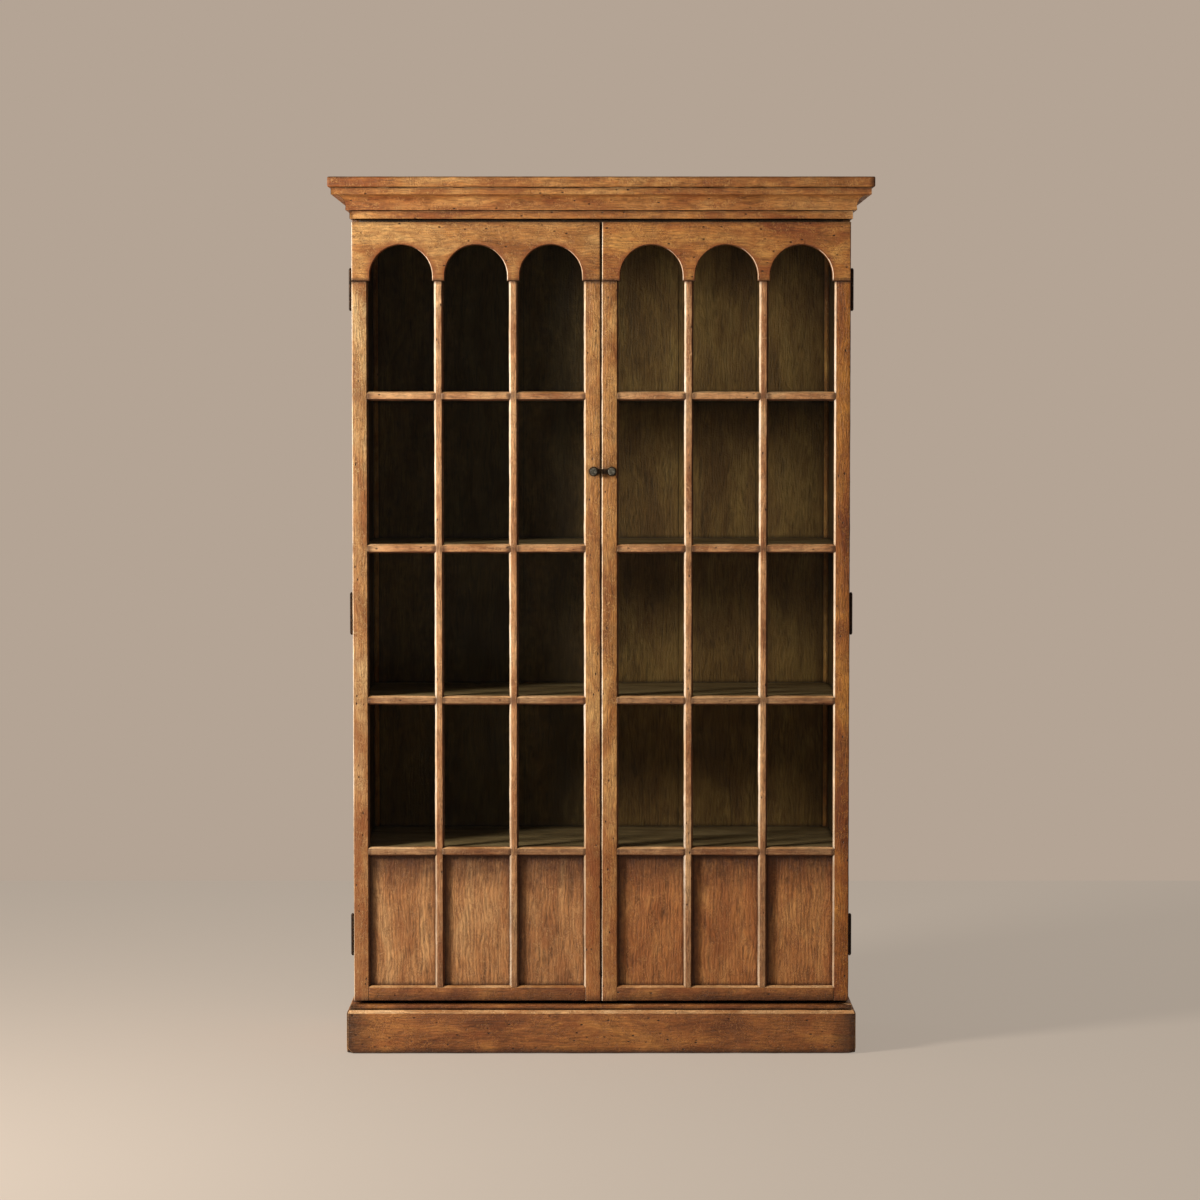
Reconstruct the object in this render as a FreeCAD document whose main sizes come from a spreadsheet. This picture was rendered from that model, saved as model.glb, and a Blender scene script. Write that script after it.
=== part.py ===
"""Tall two-door display cabinet: arched glazed doors over wooden panels, moulded cornice and plinth.

Millimetres, +Z up, the front faces -Y, origin on the floor under the middle of the cabinet.
"""

import FreeCAD, Part

import math
import os
import re

import Sketcher

Vector = FreeCAD.Vector

SIZES = {
    # whole cabinet
    "overall_height": 2134,
    "overall_depth": 520,
    "body_width": 1212,
    # carcass
    "side_thickness": 25,
    "panel_thickness": 25,
    "housing_depth": 8,
    "shelf_thickness": 22,
    "shelf_setback": 4,
    "shelf_over_bar": 1,
    "back_thickness": 12,
    "back_rebate_width": 12,
    "tongue_width": 6,
    "tongue_thickness": 4,
    "tongue_clearance": 0.3,
    "board_chamfer": 1.5,
    "corner_bead_size": 12,
    "corner_bead_chamfer": 7,
    # plinth
    "plinth_height": 108,
    "plinth_thickness": 30,
    "plinth_overhang": 17.5,
    "plinth_bevel_height": 9,
    "plinth_bevel_depth": 5,
    "strip_height": 12,
    "strip_overhang": 8,
    "strip_width": 45,
    "glue_block_size": 40,
    # cornice
    "cornice_overhang": 54,
    "cornice_top_thickness": 26,
    "cornice_top_round": 4,
    "fillet_height": 18,
    "fillet_overhang": 46,
    "cove_height": 31,
    "cove_foot_height": 5,
    "cove_top_overhang": 36,
    "cove_foot_overhang": 13,
    "cove_radius": 34,
    "moulding_back": 30,
    "band_height": 20,
    "band_overhang": 4,
    "band_width": 70,
    "mitre_reach": 90,
    # door frames
    "door_inset": 2,
    "door_thickness": 34,
    "door_top_gap": 6,
    "door_bottom_gap": 7,
    "door_middle_gap": 3,
    "closing_gap": 2.4,
    "door_edge_chamfer": 3,
    "stile_width": 40.5,
    "bottom_rail_height": 37,
    "bar_width": 22,
    "bar_depth": 30,
    "bevel_width": 5.5,
    "bevel_depth": 9,
    "shoulder_depth": 18,
    "rebate_width": 7,
    "tenon_thickness": 10,
    "tenon_front_depth": 12,
    "tenon_length": 25,
    "tenon_edge_margin": 7,
    "panel_row_height": 330.2,
    "top_row_height": 278,
    # arched headers
    "header_height": 144,
    "header_proud": 2,
    "header_chamfer": 3.5,
    "arch_radius": 75,
    "arch_stilt": 12.5,
    "header_rebate_cover": 8,
    # panes and panels
    "glass_thickness": 3,
    "wood_panel_thickness": 8,
    "pane_clearance": 0.5,
    "glazing_bead_width": 6,
    # hinges
    "hinge_low_offset": 159.2,
    "hinge_high_offset": 163,
    "hinge_length": 98,
    "hinge_pin_offset": 4.2,
    "knuckle_radius": 4,
    "knuckle_gap": 0.3,
    "pin_radius": 1.9,
    "pin_fit": 0.05,
    "pin_tip_radius": 3.4,
    "pin_tip_length": 3,
    "leaf_thickness": 1.6,
    "leaf_width": 27,
    # wood screws
    "screw_radius": 1.7,
    "screw_head_radius": 3.2,
    "screw_head_depth": 1.5,
    "screw_length": 15,
    "screw_clearance": 0.1,
    "hinge_screw_pitch": 33,
    # latch and knobs
    "latch_height": 1423.2,
    "left_knob_offset": 18.5,
    "right_knob_offset": 25.5,
    "knob_radius": 10,
    "knob_length": 18,
    "knob_stem_radius": 3,
    "knob_stem_length": 5,
    "rose_radius": 11.5,
    "rose_thickness": 2,
    "spindle_radius": 2.5,
    "spindle_clearance": 0.2,
    "nut_radius": 6,
    "nut_thickness": 3.5,
    "latch_wall": 1.5,
    "bolt_height": 8,
    "bolt_thickness": 4,
    "bolt_clearance": 0.3,
    "bolt_travel": 9,
    "bolt_tail": 10,
    "latch_end_gap": 0.8,
    "keeper_end_gap": 0.3,
    "keeper_length": 11.5,
    "keeper_mouth": 6.2,
    "rose_screw_offset": 8.5,
    "latch_screw_radius": 1,
    "latch_screw_head_radius": 1.8,
    "latch_screw_length": 10,
    # every cutting tool runs this far past what it cuts
    "overrun": 5,
}

PLACES = {
    "side_face": "body_width / 2",
    "side_inner_face": "side_face - side_thickness",
    "housing_face": "side_inner_face + housing_depth",
    "back_plane": "overall_depth / 2",
    "front_plane": "cornice_overhang - overall_depth / 2",
    "door_face": "front_plane + door_inset",
    "door_back": "door_face + door_thickness",
    "carcass_front": "door_back + closing_gap",
    "back_front": "back_plane - back_thickness",
    "carcass_bottom": "plinth_height + strip_height",
    "cornice_top_bottom": "overall_height - cornice_top_thickness",
    "moulding_bottom": "cornice_top_bottom - fillet_height - cove_height - cove_foot_height",
    "carcass_top": "moulding_bottom - band_height",
    "door_bottom": "carcass_bottom + door_bottom_gap",
    "door_top": "carcass_top - door_top_gap",
    "rail_top": "door_bottom + bottom_rail_height",
    "impost": "door_top - header_height",
    "arch_centre": "impost + arch_stilt",
    "lowest_bar": "rail_top + panel_row_height",
    "highest_bar": "impost - top_row_height",
    "lowest_hinge": "door_bottom + hinge_low_offset",
    "highest_hinge": "door_top - hinge_high_offset",
    "header_rebate_top": "arch_centre + arch_radius + header_rebate_cover",
    "meeting_edge": "door_middle_gap / 2",
    "door_width": "side_face - meeting_edge",
    "pane_sight": "(door_width - 2 * stile_width - 2 * bar_width) / 3",
    "pane_pitch": "pane_sight + bar_width",
    "first_pane": "meeting_edge + stile_width + pane_sight / 2",
    "pin_x": "side_face + hinge_pin_offset",
    "pin_y": "door_back + closing_gap / 2",
    "leaf_edge": "pin_x - leaf_width",
    "bolt_back": "door_face - latch_wall - bolt_clearance",
    "bolt_front": "bolt_back - bolt_thickness",
    "cover_back": "bolt_front - bolt_clearance",
    "cover_front": "cover_back - latch_wall",
    "channel_half": "bolt_height / 2 + bolt_clearance",
}

BAR_ROWS = 4
PANE_COLUMNS = 3
BACK_BOARDS = 6
HINGES = 3
KNUCKLES = 5
HINGE_SCREWS = 3

doc = FreeCAD.newDocument("Cabinet")
sheet = doc.addObject("Spreadsheet::Sheet", "Sizes")
for row, (alias, value) in enumerate(SIZES.items(), start=1):
    sheet.set(f"A{row}", str(value))
    sheet.setAlias(f"A{row}", alias)
doc.recompute()

kept = []


def bind(text):
    """The text of an expression with each named size and place written out for the sheet."""

    def written_out(match):
        word = match.group(0)
        if word in PLACES:
            return f"({bind(PLACES[word])})"
        return f"Sizes.{word}" if word in SIZES else word

    return re.sub(r"[a-z][a-z_]*", written_out, str(text))


def number(text):
    return float(sheet.evalExpression(bind(text)))


def tie(item, name, text):
    item.setExpression(name, bind(text))


def place(item, x="0", y="0", z="0"):
    tie(item, ".Placement.Base.x", x)
    tie(item, ".Placement.Base.y", y)
    tie(item, ".Placement.Base.z", z)
    return item


def keep(item):
    """Marks an object as a sub-part, whose Label names its file."""
    kept.append(item)
    return item


def box(name, x, y, z):
    item = doc.addObject("Part::Box", name)
    tie(item, "Length", f"({x[1]}) - ({x[0]})")
    tie(item, "Width", f"({y[1]}) - ({y[0]})")
    tie(item, "Height", f"({z[1]}) - ({z[0]})")
    return place(item, x[0], y[0], z[0])


def combined(kind, name, base, tools):
    """One base with a group of tools fused into it, or cut away from it."""
    tool = tools[0] if len(tools) == 1 else joined(f"{name}_tools", tools)
    item = doc.addObject(kind, name)
    item.Base = base
    item.Tool = tool
    return item


def joined(name, items):
    item = doc.addObject("Part::MultiFuse", name)
    item.Shapes = items
    return item


def cut(name, base, tools):
    return combined("Part::Cut", name, base, tools)


def group(name, items):
    item = doc.addObject("Part::Compound", name)
    item.Links = items
    return item


def mirrored(name, source):
    """The same piece on the cabinet's left side."""
    item = doc.addObject("Part::Mirroring", name)
    item.Source = source
    item.Base = Vector(0, 0, 0)
    item.Normal = Vector(1, 0, 0)
    return item


def new_sketch(body, name, role):
    drawing = body.newObject("Sketcher::SketchObject", name)
    plane = next(item for item in body.Origin.OriginFeatures if item.Role == role)
    drawing.AttachmentSupport = [(plane, "")]
    drawing.MapMode = "FlatFace"
    return drawing


def hold(drawing, kind, *where, text):
    """A dimension of the sketch, bound to the text."""
    index = drawing.addConstraint(Sketcher.Constraint(kind, *where, number(text)))
    tie(drawing, f"Constraints[{index}]", text)


def arc_between(start, end, radius, turn):
    """The arc from start to end, with turn 1 for anticlockwise and -1 for clockwise."""
    chord = end - start
    half = chord.Length / 2
    across = Vector(-chord.y, chord.x, 0).normalize()
    centre = (start + end) / 2 + across * turn * math.sqrt(max(radius**2 - half**2, 0))
    first, last = (start, end) if turn > 0 else (end, start)
    angles = [math.atan2(p.y - centre.y, p.x - centre.x) for p in (first, last)]
    return Part.ArcOfCircle(Part.Circle(centre, Vector(0, 0, 1), radius), *angles)


def draw(drawing, outline):
    """A closed outline of points (across, up), or (across, up, radius, turn) where an arc leads on."""
    corners = [Vector(number(point[0]), number(point[1]), 0) for point in outline]
    ends = []
    for index, point in enumerate(outline):
        start = corners[index]
        end = corners[(index + 1) % len(outline)]
        if len(point) == 4:
            edge = drawing.addGeometry(arc_between(start, end, number(point[2]), point[3]))
            hold(drawing, "Radius", edge, text=point[2])
            ends.append((edge, 1, 2) if point[3] > 0 else (edge, 2, 1))
        else:
            ends.append((drawing.addGeometry(Part.LineSegment(start, end)), 1, 2))
    for index, point in enumerate(outline):
        edge, first, last = ends[index]
        following, following_first, unused = ends[(index + 1) % len(outline)]
        drawing.addConstraint(Sketcher.Constraint("Coincident", edge, last, following, following_first))
        hold(drawing, "DistanceX", -1, 1, edge, first, text=point[0])
        hold(drawing, "DistanceY", -1, 1, edge, first, text=point[1])


def prism(name, role, outline, low, high):
    """A body with one padded outline, running from low to high along the axis across the plane."""
    body = doc.addObject("PartDesign::Body", name)
    drawing = new_sketch(body, f"{name}_outline", role)
    draw(drawing, outline)
    pad = body.newObject("PartDesign::Pad", f"{name}_pad")
    pad.Profile = drawing
    tie(pad, "Length", f"({high}) - ({low})")
    if role == "XY_Plane":
        place(body, z=low)
    elif role == "YZ_Plane":
        place(body, x=low)
    else:
        place(body, y=high)
    return body


def rectangle(x, z):
    return [(x[0], z[0]), (x[1], z[0]), (x[1], z[1]), (x[0], z[1])]


# mitred frames that run round the front and both sides

mitre_front_plan = prism(
    "mitre_front_plan",
    "XY_Plane",
    [
        ("-side_face - mitre_reach", "front_plane - mitre_reach"),
        ("side_face + mitre_reach", "front_plane - mitre_reach"),
        ("side_face - mitre_reach", "front_plane + mitre_reach"),
        ("-side_face + mitre_reach", "front_plane + mitre_reach"),
    ],
    "0",
    "overall_height",
)
mitre_side_plan = prism(
    "mitre_side_plan",
    "XY_Plane",
    [
        ("side_face + mitre_reach", "front_plane - mitre_reach"),
        ("side_face + mitre_reach", "back_plane"),
        ("side_face - mitre_reach", "back_plane"),
        ("side_face - mitre_reach", "front_plane + mitre_reach"),
    ],
    "0",
    "overall_height",
)


def common(name, base, tool):
    item = doc.addObject("Part::Common", name)
    item.Base = base
    item.Tool = tool
    return item


def mitred(name, outline):
    """A front, right and left length of one section, given as (projection, height) from the body."""
    across_front = [
        (f"front_plane - ({point[0]})", *point[1:3], *[-turn for turn in point[3:]]) for point in outline
    ]
    across_side = [(f"side_face + ({point[0]})", *point[1:]) for point in outline]
    front_run = prism(
        f"{name}_front_run",
        "YZ_Plane",
        across_front,
        "-side_face - mitre_reach",
        "side_face + mitre_reach",
    )
    side_run = prism(f"{name}_side_run", "XZ_Plane", across_side, "front_plane - mitre_reach", "back_plane")
    keep(common(f"{name}_front", front_run, mitre_front_plan))
    right = keep(common(f"{name}_right", side_run, mitre_side_plan))
    keep(mirrored(f"{name}_left", right))


def plinth_parts():
    mitred(
        "plinth",
        [
            ("plinth_overhang - plinth_thickness", "0"),
            ("plinth_overhang", "0"),
            ("plinth_overhang", "plinth_height - plinth_bevel_height"),
            ("plinth_overhang - plinth_bevel_depth", "plinth_height"),
            ("plinth_overhang - plinth_thickness", "plinth_height"),
        ],
    )
    mitred(
        "plinth_strip",
        [
            ("strip_overhang - strip_width", "plinth_height"),
            ("strip_overhang", "plinth_height"),
            ("strip_overhang", "carcass_bottom"),
            ("strip_overhang - strip_width", "carcass_bottom"),
        ],
    )
    inner_x = "side_face + plinth_overhang - plinth_thickness"
    inner_y = "front_plane - plinth_overhang + plinth_thickness"
    rail_front = "back_plane - plinth_thickness"
    strip_inner = "side_face + strip_overhang - strip_width"
    rail_depth = (rail_front, "back_plane")
    rear = box("plinth_rear_rail", (f"-({inner_x})", inner_x), rail_depth, ("0", "plinth_height"))
    upstand = box(
        "plinth_rear_upstand",
        (f"-({strip_inner})", strip_inner),
        rail_depth,
        ("plinth_height", "carcass_bottom"),
    )
    keep(joined("plinth_back", [rear, upstand]))
    block_depths = (
        (inner_y, f"{inner_y} + glue_block_size"),
        (f"{rail_front} - glue_block_size", rail_front),
    )
    block_widths = (
        (f"{inner_x} - glue_block_size", inner_x),
        (f"-({inner_x})", f"glue_block_size - ({inner_x})"),
    )
    block_height = ("plinth_height - 2 * glue_block_size", "plinth_height")
    blocks = [
        box("glue_block", width, depth, block_height) for depth in block_depths for width in block_widths
    ]
    keep(group("plinth_glue_blocks", blocks))


def cornice_parts():
    mitred(
        "cornice_band",
        [
            ("band_overhang - band_width", "carcass_top"),
            ("band_overhang", "carcass_top"),
            ("band_overhang", "moulding_bottom"),
            ("band_overhang - band_width", "moulding_bottom"),
        ],
    )
    mitred(
        "cornice_moulding",
        [
            ("-moulding_back", "moulding_bottom"),
            ("cove_foot_overhang", "moulding_bottom"),
            ("cove_foot_overhang", "moulding_bottom + cove_foot_height", "cove_radius", -1),
            ("cove_top_overhang", "cornice_top_bottom - fillet_height"),
            ("fillet_overhang", "cornice_top_bottom - fillet_height"),
            ("fillet_overhang", "cornice_top_bottom"),
            ("-moulding_back", "cornice_top_bottom"),
        ],
    )
    board = prism(
        "cornice_top",
        "XY_Plane",
        [
            ("-side_face - cornice_overhang", "front_plane - cornice_overhang"),
            ("side_face + cornice_overhang", "front_plane - cornice_overhang"),
            ("side_face + cornice_overhang", "back_plane"),
            ("-side_face - cornice_overhang", "back_plane"),
        ],
        "cornice_top_bottom",
        "overall_height",
    )
    round_long_edges(keep(board))
    rail_depth = ("back_plane - panel_thickness", "back_plane")
    band_inner = "side_face + band_overhang - band_width"
    moulding_inner = "side_face - moulding_back"
    low_part = box(
        "cornice_rail_low",
        (f"-({band_inner})", band_inner),
        rail_depth,
        ("carcass_top", "moulding_bottom"),
    )
    high_part = box(
        "cornice_rail_high",
        (f"-({moulding_inner})", moulding_inner),
        rail_depth,
        ("moulding_bottom", "cornice_top_bottom"),
    )
    keep(joined("cornice_back_rail", [low_part, high_part]))


def round_long_edges(board):
    """Rounds the worn edges of the cornice board, all but those at its back."""
    doc.recompute()
    shape = board.Tip.Shape
    back = shape.BoundBox.YMax
    chosen = []
    for index, edge in enumerate(shape.Edges, start=1):
        level = edge.BoundBox.ZLength < 1e-6
        along_back = edge.BoundBox.YMin > back - 1e-6
        if level and not along_back:
            chosen.append(f"Edge{index}")
    sawn = board.Tip
    rounding = board.newObject("PartDesign::Fillet", "cornice_top_rounding")
    rounding.Base = (sawn, chosen)
    tie(rounding, "Radius", "cornice_top_round")
    board.Tip = rounding


# carcass


def bar_height(row):
    """The middle of a door bar, row 0 lowest."""
    return f"(lowest_bar + {row} * (highest_bar - lowest_bar) / {BAR_ROWS - 1})"


def hinge_height(level):
    return f"(lowest_hinge + {level} * (highest_hinge - lowest_hinge) / {HINGES - 1})"


def shelf_span(row):
    top = f"({bar_height(row)} + bar_width / 2 - shelf_over_bar)"
    return f"({top} - shelf_thickness)", top


def back_board(index):
    """One tongued and grooved board: groove on its left, tongue on its right."""
    width = f"(2 * (side_inner_face + back_rebate_width) / {BACK_BOARDS})"
    left = f"({index} * {width} - side_inner_face - back_rebate_width)"
    right = f"({left} + {width})"
    middle = "(back_front + back_thickness / 2)"
    tongue = "tongue_thickness / 2"
    slot = "(tongue_thickness / 2 + tongue_clearance)"
    outline = [
        (f"{left} + board_chamfer", "back_front"),
        (f"{right} - board_chamfer", "back_front"),
        (right, "back_front + board_chamfer"),
    ]
    if index < BACK_BOARDS - 1:
        outline += [
            (right, f"{middle} - {tongue}"),
            (f"{right} + tongue_width", f"{middle} - {tongue}"),
            (f"{right} + tongue_width", f"{middle} + {tongue}"),
            (right, f"{middle} + {tongue}"),
        ]
    outline += [(right, "back_plane"), (left, "back_plane")]
    if index > 0:
        outline += [
            (left, f"{middle} + {slot}"),
            (f"{left} + tongue_width + tongue_clearance", f"{middle} + {slot}"),
            (f"{left} + tongue_width + tongue_clearance", f"{middle} - {slot}"),
            (left, f"{middle} - {slot}"),
        ]
    outline.append((left, "back_front + board_chamfer"))
    return prism(f"back_board_{index + 1}", "XY_Plane", outline, "carcass_bottom", "carcass_top")


def corner_bead(low, high):
    inner = "side_inner_face - corner_bead_size"
    near = "back_front - corner_bead_size"
    outline = [
        ("side_inner_face", "back_front"),
        (inner, "back_front"),
        (inner, f"{near} + corner_bead_chamfer"),
        (f"{inner} + corner_bead_chamfer", near),
        ("side_inner_face", near),
    ]
    return prism("corner_bead", "XY_Plane", outline, low, high)


def carcass_parts(carcass_cutters):
    board = box(
        "side_board",
        ("side_inner_face", "side_face"),
        ("carcass_front", "back_plane"),
        ("carcass_bottom", "carcass_top"),
    )
    width = ("side_inner_face - overrun", "housing_face")
    depth = ("carcass_front - overrun", "back_front")
    floor_height = ("carcass_bottom", "carcass_bottom + panel_thickness")
    top_height = ("carcass_top - panel_thickness", "carcass_top")
    housings = [
        box("floor_housing", width, depth, ("carcass_bottom - overrun", floor_height[1])),
        box("top_housing", width, depth, (top_height[0], "carcass_top + overrun")),
        box(
            "back_rebate",
            ("side_inner_face - overrun", "side_inner_face + back_rebate_width"),
            ("back_front", "back_plane + overrun"),
            ("carcass_bottom - overrun", "carcass_top + overrun"),
        ),
    ]
    panel_width = ("-housing_face", "housing_face")
    panel_depth = ("carcass_front", "back_front")
    keep(box("bottom_panel", panel_width, panel_depth, floor_height))
    keep(box("top_panel", panel_width, panel_depth, top_height))
    shelf_depth = ("carcass_front + shelf_setback", "back_front")
    compartment_low = floor_height[1]
    beads = []
    for row in range(BAR_ROWS):
        low, high = shelf_span(row)
        housings.append(box("shelf_housing", width, shelf_depth, (low, high)))
        keep(box(f"shelf_{row + 1}", panel_width, shelf_depth, (low, high)))
        beads.append(corner_bead(compartment_low, low))
        compartment_low = high
    beads.append(corner_bead(compartment_low, top_height[0]))
    right_beads = group("corner_beads_right_group", beads)
    keep(group("corner_beads", [right_beads, mirrored("corner_beads_left_group", right_beads)]))
    right = keep(cut("side_right", board, housings + carcass_cutters))
    keep(mirrored("side_left", right))
    keep(group("back_boards", [back_board(index) for index in range(BACK_BOARDS)]))


# hinges, with the pin on the carcass side


def upright_cylinder(name, x, y, low, high, radius):
    item = doc.addObject("Part::Cylinder", name)
    tie(item, "Radius", radius)
    tie(item, "Height", f"({high}) - ({low})")
    return place(item, x, y, low)


def screw(name, x, y, z, turn, shank, head, length, clearance="0"):
    """A countersunk screw driven along +Y with turn -90, or along -Y with turn 90."""
    cone = doc.addObject("Part::Cone", f"{name}_head")
    tie(cone, "Radius1", f"{head} + ({clearance})")
    tie(cone, "Radius2", f"{shank} + ({clearance})")
    tie(cone, "Height", "screw_head_depth")
    rod = doc.addObject("Part::Cylinder", f"{name}_shank")
    tie(rod, "Radius", f"{shank} + ({clearance})")
    tie(rod, "Height", f"{length} + ({clearance})")
    for item in (cone, rod):
        item.Placement = FreeCAD.Placement(Vector(), FreeCAD.Rotation(Vector(1, 0, 0), turn))
        place(item, x, y, z)
    return joined(name, [cone, rod])


def hinge_leaf(name, level, plate_y, own_knuckles):
    """One leaf: a plate let into the wood, and the knuckles that it carries round the pin."""
    low = f"({hinge_height(level)} - hinge_length / 2)"
    share = f"(hinge_length / {KNUCKLES})"
    plate_edge = "pin_x - knuckle_radius - knuckle_gap"
    pieces = [box(f"{name}_plate", ("leaf_edge", plate_edge), plate_y, (low, f"{low} + hinge_length"))]
    for index in own_knuckles:
        bottom = f"({low} + {index} * {share} + knuckle_gap / 2)"
        top = f"({low} + {index + 1} * {share} - knuckle_gap / 2)"
        pieces.append(box(f"{name}_tab", (f"{plate_edge} - knuckle_gap", "pin_x"), plate_y, (bottom, top)))
        pieces.append(upright_cylinder(f"{name}_knuckle", "pin_x", "pin_y", bottom, top, "knuckle_radius"))
    bore = upright_cylinder(
        f"{name}_bore",
        "pin_x",
        "pin_y",
        f"{low} - overrun",
        f"{low} + hinge_length + overrun",
        "pin_radius + pin_fit",
    )
    return joined(f"{name}_blank", pieces), bore


def hinge_pin(level):
    low = f"({hinge_height(level)} - hinge_length / 2)"
    high = f"({low} + hinge_length)"
    pieces = [upright_cylinder("hinge_pin_rod", "pin_x", "pin_y", low, high, "pin_radius")]
    tips = (
        (high, "pin_tip_radius", "pin_radius"),
        (f"{low} - pin_tip_length", "pin_radius", "pin_tip_radius"),
    )
    for end, wide, narrow in tips:
        tip = doc.addObject("Part::Cone", "hinge_pin_tip")
        tie(tip, "Radius1", wide)
        tie(tip, "Radius2", narrow)
        tie(tip, "Height", "pin_tip_length")
        pieces.append(place(tip, "pin_x", "pin_y", end))
    return joined("hinge_pin", pieces)


def hinge_side(name, plate_y, screw_y, turn, own_knuckles):
    """The leaves and screws on one side of the right-hand hinges, and what they cut from the wood."""
    screw_x = "side_face - side_thickness / 2"
    sizes = ("screw_radius", "screw_head_radius", "screw_length")
    leaves = []
    screws = []
    cutters = []
    for level in range(HINGES):
        blank, bore = hinge_leaf(f"{name}_leaf", level, plate_y, own_knuckles)
        holes = [bore]
        for index in range(HINGE_SCREWS):
            height = f"({hinge_height(level)} + {index - 1} * hinge_screw_pitch)"
            where = (screw_x, screw_y, height, turn)
            screws.append(screw(f"{name}_screw", *where, *sizes))
            hole = screw(f"{name}_screw_hole", *where, *sizes, "screw_clearance")
            holes.append(hole)
            cutters.append(hole)
        leaves.append(cut(f"{name}_leaf_cut", blank, holes))
        low = f"({hinge_height(level)} - hinge_length / 2)"
        gain = ("leaf_edge", "side_face + overrun")
        cutters.append(box(f"{name}_gain", gain, plate_y, (low, f"{low} + hinge_length")))
    return leaves, screws, cutters


def hinge_parts():
    """Makes the hinges of both doors and returns the cutters for the carcass side and for the door."""
    carcass = hinge_side(
        "carcass_hinge",
        ("carcass_front", "carcass_front + leaf_thickness"),
        "carcass_front",
        -90,
        range(0, KNUCKLES, 2),
    )
    door = hinge_side(
        "door_hinge",
        ("door_back - leaf_thickness", "door_back"),
        "door_back",
        90,
        range(1, KNUCKLES, 2),
    )
    pins = [hinge_pin(level) for level in range(HINGES)]
    fixed = (
        ("carcass_hinge_leaves", carcass[0]),
        ("carcass_hinge_screws", carcass[1]),
        ("hinge_pins", pins),
    )
    for node, members in fixed:
        right = group(f"{node}_right_group", members)
        keep(group(node, [right, mirrored(f"{node}_left_group", right)]))
    for node, members in (("door_hinge_leaves", door[0]), ("door_hinge_screws", door[1])):
        right = keep(group(f"right_{node}", members))
        keep(mirrored(f"left_{node}", right))
    return carcass[2], door[2]


# doors


def stile_blank(name, edge, inward):
    """An upright of the door frame, chamfered outside, bevelled and rebated inside."""

    def across(size):
        return f"{edge} {inward} ({size})"

    outline = [
        (edge, "door_face + door_edge_chamfer"),
        (across("door_edge_chamfer"), "door_face"),
        (across("stile_width - bevel_width"), "door_face"),
        (across("stile_width"), "door_face + bevel_depth"),
        (across("stile_width"), "door_face + shoulder_depth"),
        (across("stile_width - rebate_width"), "door_face + shoulder_depth"),
        (across("stile_width - rebate_width"), "door_back"),
        (edge, "door_back"),
    ]
    upright = prism(f"{name}_upright", "XY_Plane", outline, "door_bottom", "impost")
    near = across("tenon_edge_margin")
    far = across("stile_width - rebate_width - tenon_edge_margin")
    tenon_x = (near, far) if inward == "+" else (far, near)
    tenon_y = ("door_face + tenon_front_depth", "door_face + tenon_front_depth + tenon_thickness")
    tenon = box(f"{name}_tenon", tenon_x, tenon_y, ("impost - overrun", "impost + tenon_length"))
    with_tenon = joined(f"{name}_with_tenon", [upright, tenon])
    near = across("stile_width - rebate_width - tenon_length")
    far = across("stile_width + overrun")
    mortise_x = (near, far) if inward == "+" else (far, near)
    mortise_z = ("door_bottom + tenon_edge_margin", "rail_top - rebate_width - tenon_edge_margin")
    mortise = box(f"{name}_mortise", mortise_x, tenon_y, mortise_z)
    return cut(f"{name}_blank", with_tenon, [mortise])


def bar_section(along, middle):
    """The section of a glazing bar: a bevelled nose in front and a web between the panes behind."""
    half = "bar_width / 2"
    web = "(bar_width / 2 - rebate_width)"
    profile = [
        (f"{half} - bevel_width", "0"),
        (half, "bevel_depth"),
        (half, "shoulder_depth"),
        (web, "shoulder_depth"),
        (web, "bar_depth"),
    ]
    outline = []
    for sign, points in (("+", profile), ("-", profile[::-1])):
        for offset, depth in points:
            here = f"{middle} {sign} ({offset})"
            back = f"door_face + {depth}"
            outline.append((here, back) if along == "z" else (back, here))
    return outline


def pane_centre(column):
    return f"(first_pane + {column} * pane_pitch)"


def pane_opening(column, row):
    """The rebated opening behind a pane, as its limits in x and z; row -1 is the wooden panel."""
    half = "(pane_sight / 2 + rebate_width)"
    width = (f"({pane_centre(column)} - {half})", f"({pane_centre(column)} + {half})")
    low = "(rail_top - rebate_width)" if row < 0 else f"({bar_height(row)} + bar_width / 2 - rebate_width)"
    high = "header_rebate_top"
    if row + 1 < BAR_ROWS:
        high = f"({bar_height(row + 1)} - bar_width / 2 + rebate_width)"
    return width, (low, high)


def filling(name, column, row, thickness):
    """A pane or panel in its rebate, and the four beads that hold it from behind."""
    width, height = pane_opening(column, row)
    front = "door_face + shoulder_depth"
    sheet_box = box(
        name,
        (f"{width[0]} + pane_clearance", f"{width[1]} - pane_clearance"),
        (front, f"{front} + {thickness}"),
        (f"{height[0]} + pane_clearance", f"{height[1]} - pane_clearance"),
    )
    depth = (f"{front} + {thickness}", "door_face + bar_depth")
    inner = (f"{width[0]} + glazing_bead_width", f"{width[1]} - glazing_bead_width")
    beads = [
        box("bead_upright", (width[0], inner[0]), depth, height),
        box("bead_upright", (inner[1], width[1]), depth, height),
        box("bead_across", inner, depth, (height[0], f"{height[0]} + glazing_bead_width")),
        box("bead_across", inner, depth, (f"{height[1]} - glazing_bead_width", height[1])),
    ]
    return sheet_box, beads


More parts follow.
